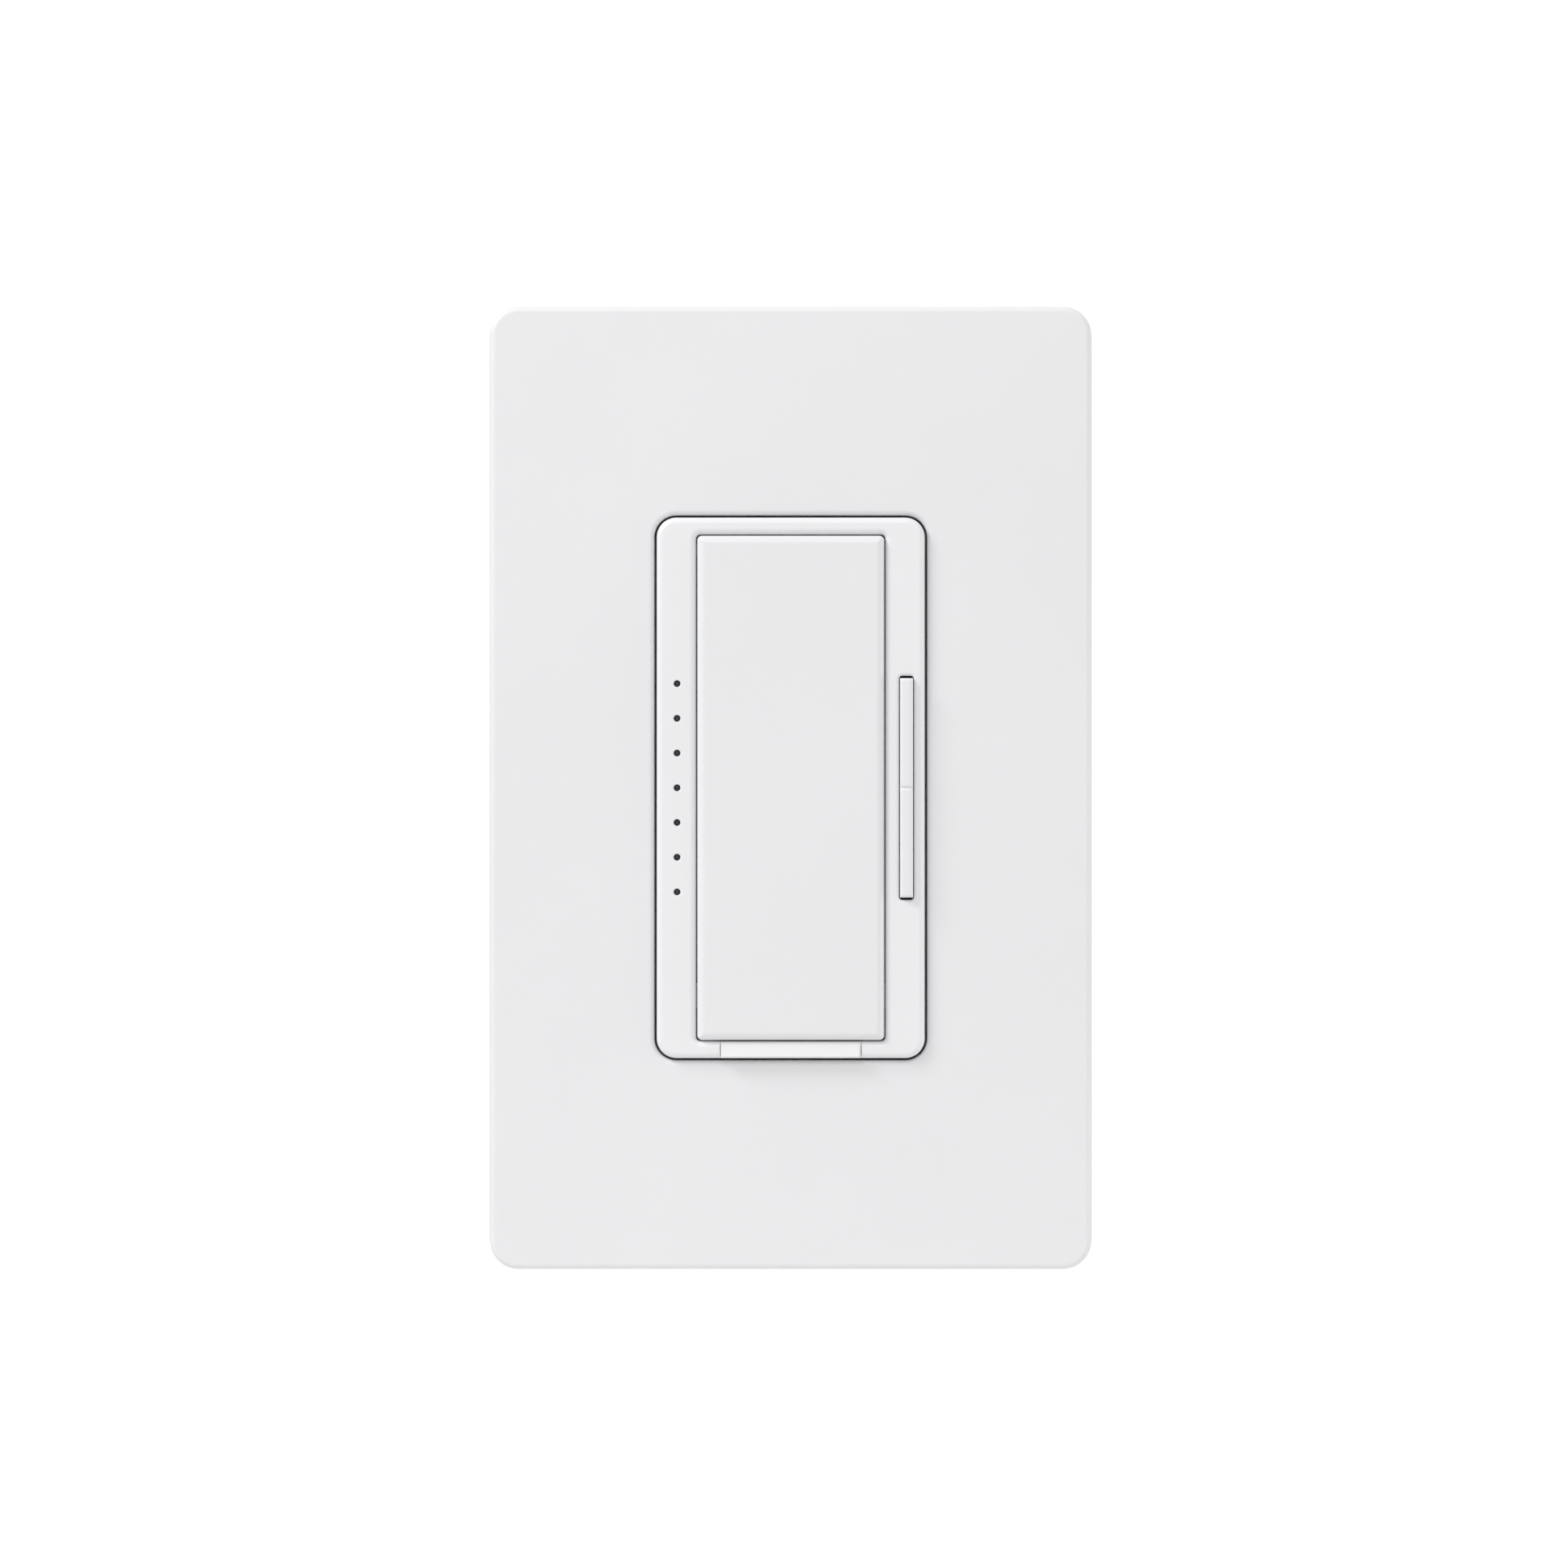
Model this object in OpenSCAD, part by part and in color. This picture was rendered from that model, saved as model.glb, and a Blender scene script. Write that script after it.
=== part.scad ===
// Wall dimmer with a press paddle, a raise/lower rocker and a screwless wall plate.
// X runs to the right, Y into the wall and Z up, in millimetres.
// The origin is on the wall's surface, midway between the two box screws.

/* [Wall plate] */
// Width of the wall plate
plate_w = 74.7; // [73:0.1:78]
// Height of the wall plate
plate_h = 119.1; // [118:0.1:124]
// How far the plate's face stands off the wall
plate_depth = 7.6; // [7.2:0.1:8]
// Corner radius of the plate, seen from the front
plate_corner = 3.9; // [3:0.1:6]
// Radius of the rounded edge round the plate's face
plate_edge = 1.2; // [0.6:0.1:1.4]
// Thickness of the plate's side walls
plate_wall = 1.6; // [1.2:0.1:1.8]
// Thickness of the plate's face
plate_face = 1.8; // [1.4:0.1:2]

/* [Front frame] */
// Width of the frame that shows in the plate's opening
frame_w = 32.9; // [32.8:0.05:33.1]
// Height of that frame
frame_h = 66.35; // [66.2:0.05:66.6]
// Corner radius of the frame
frame_corner = 2.4; // [1.8:0.1:3]
// How far the frame stands proud of the plate
frame_proud = 1.0; // [0.6:0.1:1.4]
// Gap between the frame and the plate's opening
frame_gap = 0.35; // [0.2:0.05:0.5]

/* [Controls] */
// Width of the press paddle
paddle_w = 22.95; // [22.5:0.05:23]
// Height of the press paddle
paddle_h = 61.9; // [61.5:0.05:62]
// How far the paddle stands proud of the frame
paddle_proud = 0.7; // [0.65:0.05:0.9]
// Gap round the paddle
paddle_gap = 0.3; // [0.25:0.05:0.35]
// Width of the raise/lower rocker
rocker_w = 1.6; // [1.4:0.1:1.7]
// Height of the rocker
rocker_h = 26.9; // [26:0.1:27.2]
// How far the rocker stands proud of the frame
rocker_proud = 0.9; // [0.7:0.1:1.2]
// Number of indicator lights
led_count = 7; // [3:1:7]
// Distance between two indicator lights
led_pitch = 4.26; // [4:0.01:4.3]
// Diameter of an indicator light's hole
led_hole_d = 0.82; // [0.8:0.01:0.9]
// Width of the pull-out air-gap tab
tab_w = 17.25; // [16:0.05:17.5]
// How far the tab stands proud of the frame
tab_proud = 0.45; // [0.3:0.05:0.6]

/* [Chassis] */
// Distance between the two screws that go into the wall box
box_screw_pitch = 83.3; // [83:0.1:83.6]
// Distance between the two screws that hold the adapter plate
plate_screw_pitch = 96.8; // [96.6:0.1:97]
// Thickness of the metal yoke
yoke_t = 1.3; // [1.2:0.1:1.3]
// Width of the yoke without its break-off fins
yoke_w = 44.4; // [44:0.1:45]
// Height of the yoke
yoke_h = 104.8; // [104:0.1:106]
// Width of the rear housing
housing_w = 44; // [43.8:0.1:44.4]
// Height of the rear housing
housing_h = 69; // [69:0.1:70]
// Depth of the rear housing behind the wall's surface
housing_depth = 29; // [29:0.5:31]

/* [Hidden] */
$fn = 48;
eps = 0.01;

// Depths of the stack. The wall's surface is 0, and the front is negative.
yoke_front = -yoke_t;
plate_front = -plate_depth;
plate_inner = plate_front + plate_face;
frame_front = plate_front - frame_proud;
frame_t = 1.6;
frame_inner = frame_front + frame_t;
frame_wall = 1.0;
flange_t = 1.2;
flange_front = yoke_front - flange_t;
paddle_front = frame_front - paddle_proud;
rocker_front = frame_front - rocker_proud;
tab_front = frame_front - tab_proud;
insulator_t = 0.25;
board_t = 1.0;
board_back = yoke_front - insulator_t;
board_front = board_back - board_t;
adapter_t = 2.0;
adapter_front = yoke_front - adapter_t;

// Openings and margins
opening_w = frame_w + 2*frame_gap;
opening_h = frame_h + 2*frame_gap;
opening_corner = frame_corner + frame_gap;
window_w = paddle_w + 2*paddle_gap;
window_h = paddle_h + 2*paddle_gap;
cavity_w = frame_w - 2*frame_wall;
cavity_h = frame_h - 2*frame_wall;
flange_w = 43;
flange_h = 73.2;

// Paddle hinge, its stops and the switch behind it
hinge_y = -5.8;
hinge_z = 29.2;
trunnion_r = 0.8;
bearing_x = 12.75;
bearing_gap = 0.05;
paddle_t = 1.4;
paddle_skirt = 1.0;
paddle_back = -5.9;
paddle_edge = 0.45;
tap_z = -14;
switch_h = 1.9;
switch_front = board_front - switch_h;
plunger_gap = 0.03;
plunger_h = 1.65;
tap_plunger_r = 1.1;
tap_plunger_front = -5.15;
spring_x = 7;
spring_z = -24;

// Rocker, on its own pivot at mid height
rocker_x = 14.2;
rocker_slot_gap = 0.3;
rocker_end_gap = 0.4;
rocker_y = -5.6;
rocker_back = -6.3;
rocker_pin_r = 0.6;
rocker_leg_z = 10;
side_plunger_r = 0.6;
side_plunger_front = -5.0;

// Indicator lights
led_x = -13.95;
function led_z(i) = (i - (led_count - 1)/2)*led_pitch;

// Air-gap switch: tab, leg, foot, leaf and contacts
tab_gap = 0.15;
tab_top = -window_h/2 - 0.02;
tab_bottom = -frame_h/2 + 0.03;
tab_back = -3.4;
leg_w = 10;
leg_z0 = -32.1;
leg_z1 = -31.1;
foot_y = 11.1;
foot_t = 1.2;
foot_top = -28.7;
leaf_y = 10.4;
leaf_t = 0.4;
leaf_w = 4;
leaf_root_z = -8.2;
leaf_tip_z = -29.6;
contact_z = -24;
contact_r = 1.2;

// Yoke, housing and the screws that clamp them to the front frame
clamp_x = 18.9;
clamp_z = 31.4;
clamp_r = 1.1;
boss_front = -4.4;
fin_w = 8.3;
fin_h = 66;
fin_gap = 0.7;
housing_wall = 1.8;
housing_back_t = 2.0;

// Control board and the header that joins it to the power board
board_w = 30.6;
board_h = 61.2;
header_z = 24;
header_w = 15.8;
header_h = 2.6;
pin_r = 0.32;
pin_hole_r = 0.42;
pin_pitch = 2.54;

// Power board, its supports, and its parts' leads: [x, z, radius]
power_y = 22.4;
power_t = 1.6;
lead_end = power_y + power_t + 1;
support_x = 14;
support_z = 25;
FILM_LEADS = [[-7.9, -27, 0.4], [-7.9, -17, 0.4]];
CAN_LEADS = [[-14.3, -10.5, 0.3], [-14.3, -7.5, 0.3]];
DISC_LEADS = [[5.5, -1.4, 0.35], [12.5, -1.4, 0.35]];
FUSE_LEADS = [[-7, 27.6, 0.35], [7, 27.6, 0.35]];
LEADS = concat(FILM_LEADS, CAN_LEADS, DISC_LEADS, FUSE_LEADS);
pad_t = 0.3;
triac_x = -8;
triac_hole_z = 16.7;
choke_x = 8;
choke_y = 18.1;
choke_z = -17;
choke_outer = 9.4;
choke_inner = 5.4;
choke_half_h = 3.2;

// Screws of the box, plate and terminals: 6-32, 3.5 mm over the thread
thread_r = 1.75;
retainer_t = 0.4;

// Terminal pockets in the housing's sides: [side, height, node]
pocket_floor = 17.3;
pocket_y0 = 9;
pocket_y1 = 20;
pocket_h = 10;
pocket_skin = 1.6;
terminal_y = 14.5;
LINE = [-1, 15];
LOAD = [1, 22];
REMOTE = [1, 8];
TERMINALS = [LINE, LOAD, REMOTE];

// Ground tab, lanced from the yoke and bent back
ground_x = -15.5;
ground_w = 9;
ground_z = -36.6;
ground_t = 1.2;
ground_y = 4.8;

WHITE = [0.93, 0.93, 0.94];
STEEL = [0.72, 0.73, 0.74];
BRASS = [0.80, 0.66, 0.35];
COPPER = [0.72, 0.42, 0.24];
CHARCOAL = [0.16, 0.16, 0.17];
BOARD_GREEN = [0.12, 0.36, 0.22];

/* Shapes */

// A block between two corners
module block(x0, x1, y0, y1, z0, z1) translate([x0, y0, z0]) cube([x1 - x0, y1 - y0, z1 - z0]);

// An outline drawn in X and Z, made solid from depth y0 to depth y1
module solid_y(y0, y1) translate([0, y1, 0]) rotate([90, 0, 0]) linear_extrude(y1 - y0) children();

module rod_y(x, z, r, y0, y1) translate([x, y1, z]) rotate([90, 0, 0]) cylinder(h = y1 - y0, r = r);

module rod_x(y, z, r, x0, x1) translate([x0, y, z]) rotate([0, 90, 0]) cylinder(h = x1 - x0, r = r);

// A rectangle with round corners
module rounded(w, h, r) {
    square([w - 2*r, h], center = true);
    square([w, h - 2*r], center = true);
    for (x = [-1, 1], z = [-1, 1]) translate([x*(w/2 - r), z*(h/2 - r)]) circle(r);
}

// A slot with round ends, w wide in X
module obround(w, h) {
    square([w - h, h], center = true);
    for (x = [-1, 1]) translate([x*(w - h)/2, 0]) circle(h/2);
}

module slab(w, h, r, y0, y1) solid_y(y0, y1) rounded(w, h, r);

// A slab whose front edge, at y0, is rounded to radius e all the way round
module soft_slab(w, h, r, y0, y1, e) {
    slab(w, h, r, y0 + e, y1);
    slab(w - 2*e, h - 2*e, r - e, y0, y0 + e);
    for (s = [-1, 1]) {
        translate([s*(w/2 - e), y0 + e, 0]) intersection() {
            cylinder(h = h - 2*r, r = e, center = true);
            translate([s*e/2, -e/2, 0]) cube([e, e, h], center = true);
        }
        translate([0, y0 + e, s*(h/2 - e)]) rotate([0, 90, 0]) intersection() {
            cylinder(h = w - 2*r, r = e, center = true);
            translate([-s*e/2, -e/2, 0]) cube([e, e, w], center = true);
        }
    }
    for (x = [-1, 1], z = [-1, 1])
        translate([x*(w/2 - r), y0 + e, z*(h/2 - r)]) rotate([90, 0, 0]) intersection() {
            rotate_extrude() translate([r - e, 0]) intersection() {
                circle(e);
                square(e);
            }
            translate([x > 0 ? 0 : -r, z > 0 ? 0 : -r, 0]) cube([r, r, e]);
        }
}

// A domed screw head on the plane y = 0, standing in -Y, with a crossed slot cut across it
module screw_head(r, h, slot) {
    dome_r = (r*r + h*h)/(2*h);
    difference() {
        rotate([90, 0, 0]) rotate_extrude() intersection() {
            translate([0, h - dome_r]) circle(dome_r);
            square([r, h]);
        }
        translate([-slot/2, -h - eps, -r]) cube([slot, h*0.55, 2*r]);
        translate([-r*0.55, -h - eps, -slot/2]) cube([r*1.1, h*0.55, slot]);
    }
}

// A helical wire spring along Y, swept as one closed skin
module spring_y(coil_r, wire_r, y0, y1, turns) {
    sides = 6;
    steps = 10*turns;
    length = y1 - y0 - 2*wire_r;
    function centre(i) = let (a = 360*turns*i/steps)
        [coil_r*cos(a), y0 + wire_r + length*i/steps, coil_r*sin(a)];
    function ring(i) = let (a = 360*turns*i/steps, c = centre(i))
        [for (k = [0:sides - 1]) let (b = 360*k/sides)
            c + wire_r*[cos(b)*cos(a), sin(b), cos(b)*sin(a)]];
    points = [for (i = [0:steps]) each ring(i)];
    skin = [for (i = [0:steps - 1], k = [0:sides - 1]) let (n = (k + 1)%sides)
        [i*sides + k, (i + 1)*sides + k, (i + 1)*sides + n, i*sides + n]];
    first_end = [for (k = [0:sides - 1]) k];
    last_end = [for (k = [sides - 1:-1:0]) steps*sides + k];
    polyhedron(points, concat(skin, [first_end, last_end]));
}

/* Wall plate and the adapter that it snaps onto */

snap_length = 8;
snap_reach = 1.2;
snap_front = -2.2;
snap_back = -0.5;
snap_side_z = [-38, 0, 38];
snap_end_x = 20;

// A wedge on the inside of the plate's right wall, which catches in the adapter's window
module snap_wedge(inner) translate([0, 0, -snap_length/2]) linear_extrude(snap_length)
    polygon([[inner + eps, snap_front], [inner - snap_reach, snap_front + 0.5],
        [inner - snap_reach, snap_back - 0.6], [inner + eps, snap_back]]);

module at_snaps(half_w, half_h) {
    for (side = [0, 180], z = snap_side_z) rotate([0, side, 0]) translate([half_w, 0, z]) children();
    for (end = [-90, 90], x = [-snap_end_x, snap_end_x])
        rotate([0, end, 0]) translate([half_h, 0, x]) children();
}

module wall_plate() color(WHITE) {
    inner_w = plate_w - 2*plate_wall;
    inner_h = plate_h - 2*plate_wall;
    collar_t = 1.2;
    collar_back = -4.9;
    rib_t = 0.8;
    rib_back = -4.2;
    pry_w = 10;
    pry_depth = 1.2;
    difference() {
        union() {
            difference() {
                soft_slab(plate_w, plate_h, plate_corner, plate_front, 0, plate_edge);
                slab(inner_w, inner_h, plate_corner - plate_wall, plate_inner, 1);
            }
            slab(opening_w + 2*collar_t, opening_h + 2*collar_t, opening_corner + collar_t,
                plate_inner - eps, collar_back);
            for (s = [-1, 1]) {
                block(s*27 - rib_t/2, s*27 + rib_t/2, plate_inner - eps, rib_back, -inner_h/2, inner_h/2);
                block(-inner_w/2, inner_w/2, plate_inner - eps, rib_back, s*53 - rib_t/2, s*53 + rib_t/2);
                block(-inner_w/2, inner_w/2, plate_inner - eps, rib_back, s*39 - rib_t/2, s*39 + rib_t/2);
            }
            at_snaps(0, (inner_h - inner_w)/2) snap_wedge(inner_w/2);
        }
        slab(opening_w, opening_h, opening_corner, plate_front - 1, 1);
        block(-pry_w/2, pry_w/2, -pry_depth, 1, -plate_h/2 - 1, -plate_h/2 + plate_wall + 1);
    }
}

adapter_w = 70.6;
adapter_h = 115;

module adapter_plate() color(WHITE) {
    skirt = 1.4;
    skirt_back = -0.3;
    rib_t = 0.8;
    rib_back = -0.7;
    rib_x0 = yoke_w/2 + 1.3;
    notch_r = 3.4;
    window_depth = 1.6;
    latch_slot = [8, 3];
    difference() {
        union() {
            slab(adapter_w, adapter_h, 3, adapter_front, yoke_front);
            difference() {
                slab(adapter_w, adapter_h, 3, yoke_front - eps, skirt_back);
                slab(adapter_w - 2*skirt, adapter_h - 2*skirt, 1.6, -5, 1);
            }
            for (x = [-1, 1], z = [39, 44, 49], s = [-1, 1])
                block(x > 0 ? rib_x0 : 1 - adapter_w/2, x > 0 ? adapter_w/2 - 1 : -rib_x0,
                    yoke_front - eps, rib_back, s*z - rib_t/2, s*z + rib_t/2);
        }
        slab(flange_w + 1, flange_h + 1.4, 2, -9, 1);
        for (s = [-1, 1]) {
            translate([0, 0, s*(30 + box_screw_pitch/2)/2])
                slab(2*notch_r, box_screw_pitch/2 - 30, 0.5, -9, 1);
            rod_y(0, s*box_screw_pitch/2, notch_r, -9, 1);
            rod_y(0, s*plate_screw_pitch/2, thread_r + 0.2, -9, 1);
            for (x = [-28, 28]) solid_y(-9, 1) translate([x, s*52.5]) obround(latch_slot[0], latch_slot[1]);
        }
        at_snaps(0, (adapter_h - adapter_w)/2)
            block(adapter_w/2 - window_depth, adapter_w/2 + 1, snap_front - 0.2, 1,
                -snap_length/2 - 0.5, snap_length/2 + 0.5);
    }
}

module adapter_screws() color(STEEL) {
    length = 8.5;
    for (s = [-1, 1]) translate([0, adapter_front, s*plate_screw_pitch/2]) {
        screw_head(2.8, 1.7, 0.8);
        rod_y(0, 0, thread_r, -eps, length);
    }
}

/* Yoke and what holds it to the wall box */

module yoke_outline() difference() {
    union() {
        rounded(yoke_w, yoke_h, 3);
        for (s = [-1, 1]) {
            translate([s*(yoke_w/2 + fin_gap + fin_w/2), 0]) rounded(fin_w, fin_h, 1.5);
            for (z = [-25, -8, 8, 25]) translate([s*(yoke_w + fin_gap)/2, z])
                square([fin_gap + 1, 2.4], center = true);
        }
    }
    for (s = [-1, 1]) {
        translate([0, s*box_screw_pitch/2]) obround(6.6, 4.2);
        translate([0, s*plate_screw_pitch/2]) circle(thread_r + 0.03);
        for (x = [-clamp_x, clamp_x]) translate([x, s*clamp_z]) circle(clamp_r + 0.3);
        translate([16, s*46]) circle(1.6);
    }
    translate([0, header_z]) square([header_w + 1.2, header_h + 1.4], center = true);
    translate([0, (leg_z0 + leg_z1)/2]) square([leg_w + 0.8, 1.8], center = true);
    translate([triac_x, triac_hole_z]) circle(1.65);
    translate([ground_x, ground_z - ground_w/2]) square([ground_w, ground_w], center = true);
    translate([-16, 46]) circle(1.6);
}

module yoke() color(STEEL) {
    solid_y(yoke_front, 0) yoke_outline();
    difference() {
        block(ground_x - ground_w/2, ground_x + ground_w/2, yoke_front, 9.2, ground_z, ground_z + ground_t);
        translate([ground_x, ground_y, ground_z - 1]) cylinder(h = ground_t + 2, r = thread_r + 0.03);
    }
}

module mounting_screws() color(STEEL) {
    neck_r = 1.45;
    tip = 17;
    for (s = [-1, 1]) translate([0, 0, s*box_screw_pitch/2]) {
        translate([0, yoke_front, 0]) screw_head(3.2, 2.1, 0.9);
        rod_y(0, 0, neck_r, yoke_front - eps, retainer_t + eps);
        rod_y(0, 0, thread_r, retainer_t, tip);
        translate([0, tip, 0]) rotate([-90, 0, 0]) cylinder(h = 0.7, r1 = thread_r, r2 = 1.1);
    }
}

module screw_retainers() color([0.55, 0.36, 0.22])
    for (s = [-1, 1]) difference() {
        translate([0, 0, s*box_screw_pitch/2]) slab(9, 9, 1, 0, retainer_t);
        rod_y(0, s*box_screw_pitch/2, 1.6, -1, 1);
    }

/* Front frame */

module front_frame() color(WHITE) {
    slot_w = rocker_w + 2*rocker_slot_gap;
    slot_h = rocker_h + 2*rocker_end_gap;
    difference() {
        union() {
            difference() {
                soft_slab(frame_w, frame_h, frame_corner, frame_front, yoke_front, 0.5);
                slab(cavity_w, cavity_h, frame_corner - frame_wall, frame_inner, 1);
            }
            difference() {
                slab(flange_w, flange_h, 2, flange_front, yoke_front);
                slab(cavity_w, cavity_h, frame_corner - frame_wall, -9, 1);
            }
            for (x = [-1, 1], z = [-1, 1]) rod_y(x*clamp_x, z*clamp_z, 2.1, boss_front, flange_front + eps);
            for (x = [-bearing_x, bearing_x])
                block(x - 0.6, x + 0.6, frame_inner - eps, hinge_y + 1.4, hinge_z - 1.5, hinge_z + 1.5);
            block(rocker_x - 1.8, rocker_x - 1.0, frame_inner - eps, rocker_y + 1.2, -1.5, 1.5);
            block(rocker_x + 1.0, frame_w/2 - 0.5, frame_inner - eps, rocker_y + 1.2, -1.5, 1.5);
        }
        slab(window_w, window_h, 0.5, frame_front - 1, frame_inner + eps);
        translate([rocker_x, 0, 0]) slab(slot_w, slot_h, 0.4, frame_front - 1, frame_inner);
        for (i = [0:led_count - 1])
            rod_y(led_x, led_z(i), led_hole_d/2, frame_front - 1, frame_inner + 1);
        block(-tab_w/2 - tab_gap, tab_w/2 + tab_gap, frame_front - 1, flange_front,
            -frame_h/2 - 1, 0.5 - window_h/2);
        for (side = [0, 180]) rotate([0, side, 0])
            rod_x(hinge_y, side > 0 ? -hinge_z : hinge_z, trunnion_r + bearing_gap, 12, 13.5);
        rod_x(rocker_y, 0, rocker_pin_r + bearing_gap, rocker_x - 2, rocker_x + 1.8);
        for (x = [-1, 1], z = [-1, 1]) rod_y(x*clamp_x, z*clamp_z, clamp_r + 0.05, boss_front + 0.3, 1);
    }
}

module light_pipe() color([0.86, 0.88, 0.86]) {
    bar_half = 15;
    bar_front = frame_inner + 0.2;
    block(led_x - 1, led_x + 1, bar_front, bar_front + 1.4, -bar_half, bar_half);
    for (i = [0:led_count - 1])
        rod_y(led_x, led_z(i), led_hole_d/2 - 0.05, frame_front + 0.55, bar_front + eps);
    for (s = [-1, 1]) {
        z0 = s > 0 ? bar_half - 0.8 : -bar_half;
        block(led_x - 1, led_x + 1, bar_front + 1.4 - eps, board_front, z0, z0 + 0.8);
    }
}

/* Moving controls */

module tap_paddle() color(WHITE) {
    inner = paddle_front + paddle_t;
    rib_half = 0.4;
    trunnion_end = 13.2;
    stop_end = 12.6;
    difference() {
        soft_slab(paddle_w, paddle_h, 0.6, paddle_front, paddle_back, paddle_edge);
        slab(paddle_w - 2*paddle_skirt, paddle_h - 2*paddle_skirt, 0.3, inner, 1);
    }
    for (z = [-20, -6, 6, 18])
        block(0.5 - paddle_w/2, paddle_w/2 - 0.5, inner - eps, -6.5, z - rib_half, z + rib_half);
    for (x = [-3.6, 3.6])
        block(x - rib_half, x + rib_half, inner - eps, -6.9, 0.5 - paddle_h/2, paddle_h/2 - 0.5);
    rod_y(0, tap_z, 1.5, inner - eps, tap_plunger_front - plunger_gap);
    for (x = [-spring_x, spring_x]) rod_y(x, spring_z, 1.0, inner - eps, -6.7);
    for (side = [0, 1]) mirror([side, 0, 0]) {
        block(paddle_w/2 - paddle_skirt, paddle_w/2, paddle_back - eps, -4.9, hinge_z - 1, hinge_z + 1);
        rod_x(hinge_y, hinge_z, trunnion_r, paddle_w/2 - eps, trunnion_end);
        block(paddle_w/2 - 0.5, stop_end, frame_inner + 0.03, paddle_back, -27, -24);
    }
}

module paddle_springs() color(STEEL)
    for (x = [-spring_x, spring_x]) translate([x, 0, spring_z])
        spring_y(1.45, 0.18, paddle_front + paddle_t, board_front, 5);

module dimming_rocker() color(WHITE) {
    difference() {
        translate([rocker_x, 0, 0]) soft_slab(rocker_w, rocker_h, 0.45, rocker_front, rocker_back, 0.25);
        translate([rocker_x - rocker_w, 0, 0]) rotate([90, 0, 90]) linear_extrude(2*rocker_w)
            polygon([[rocker_front - eps, -0.28], [rocker_front + 0.24, 0], [rocker_front - eps, 0.28]]);
    }
    block(rocker_x - 0.6, rocker_x + 0.6, rocker_back - eps, rocker_y + 0.9, -1.2, 1.2);
    rod_x(rocker_y, 0, rocker_pin_r, rocker_x - 1.7, rocker_x + 1.7);
    for (s = [-1, 1])
        block(rocker_x - 0.5, rocker_x + 0.5, rocker_back - eps, side_plunger_front - plunger_gap,
            s*rocker_leg_z - 0.8, s*rocker_leg_z + 0.8);
}

module air_gap_tab() color(WHITE) {
    foot_w = 6;
    translate([0, 0, (tab_top + tab_bottom)/2])
        soft_slab(tab_w, tab_top - tab_bottom, 0.45, tab_front, tab_back, 0.35);
    block(-leg_w/2, leg_w/2, tab_back - eps, foot_y, leg_z0, leg_z1);
    block(-foot_w/2, foot_w/2, foot_y - eps, foot_y + foot_t, leg_z0, foot_top);
}

/* Control board, in front of the yoke */

module at_pins() for (i = [-2.5:1:2.5]) translate([i*pin_pitch, 0, header_z]) children();

module control_board() color(BOARD_GREEN) difference() {
    slab(board_w, board_h, 0.6, board_front, board_back);
    at_pins() rod_y(0, 0, pin_hole_r, -9, 1);
}

module board_insulator() color([0.75, 0.68, 0.52]) difference() {
    slab(board_w, board_h, 0.6, board_back, yoke_front);
    translate([0, 0, header_z]) slab(header_w + 0.8, header_h + 0.8, 0.2, -9, 1);
}

module status_leds() color([0.95, 0.92, 0.80])
    for (i = [0:led_count - 1]) let (z = led_z(i)) {
        block(led_x - 0.5, led_x + 0.5, board_front - 0.5, board_front, z - 0.8, z + 0.8);
        block(led_x - 0.5, led_x + 0.5, board_front - 0.8, board_front - 0.5 + eps, z - 0.5, z + 0.5);
    }

module microcontroller() color(CHARCOAL) translate([3, board_front, 12]) {
    half = 3.5;
    block(-half, half, -1.0, -0.15, -half, half);
    for (side = [0:90:270], i = [-3:3]) rotate([0, side, 0])
        block(half - 0.2, half + 0.9, -0.45, 0, i*0.8 - 0.2, i*0.8 + 0.2);
}

// Two columns of small ceramic parts, each [middle in X, lowest Z, step]
module board_passives() color([0.62, 0.52, 0.40])
    for (column = [[-7.8, 2, 2.6], [4.5, -16.4, 2.4]], i = [0:5])
        let (x = column[0], z = column[1] + i*column[2])
            block(x - 0.85, x + 0.85, board_front - 0.6, board_front, z, z + 1);

module header_block() color(CHARCOAL) difference() {
    block(-header_w/2, header_w/2, board_back, 1.6, header_z - header_h/2, header_z + header_h/2);
    at_pins() rod_y(0, 0, pin_r + 0.04, -9, 3);
}

module header_pins() color(BRASS) at_pins() rod_y(0, 0, pin_r, board_front - 0.8, lead_end);

// A tactile switch: a moulded base with a bore for its plunger, on four solder feet
module tactile_switch(x, z, w, h, bore_r) color([0.20, 0.20, 0.21]) {
    difference() {
        block(x - w/2, x + w/2, switch_front, board_front, z - h/2, z + h/2);
        rod_y(x, z, bore_r, switch_front - 1, board_front - 0.2);
    }
    for (s = [-1, 1], t = [-0.3, 0.3])
        block(x + t*w - 0.3, x + t*w + 0.3, board_front - 0.3, board_front,
            s > 0 ? z + h/2 - eps : z - h/2 - 0.7, s > 0 ? z + h/2 + 0.7 : z - h/2 + eps);
}

module tap_switch() tactile_switch(0, tap_z, 5.2, 5.2, tap_plunger_r + bearing_gap);

module raise_switch() tactile_switch(rocker_x, rocker_leg_z, 2.1, 4.2, side_plunger_r + bearing_gap);

module lower_switch() tactile_switch(rocker_x, -rocker_leg_z, 2.1, 4.2, side_plunger_r + bearing_gap);

module plunger(x, z, r, front) color([0.80, 0.30, 0.22]) rod_y(x, z, r, front, front + plunger_h);

module tap_plunger() plunger(0, tap_z, tap_plunger_r, tap_plunger_front);

module raise_plunger() plunger(rocker_x, rocker_leg_z, side_plunger_r, side_plunger_front);

module lower_plunger() plunger(rocker_x, -rocker_leg_z, side_plunger_r, side_plunger_front);

/* Air-gap contacts */

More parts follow.
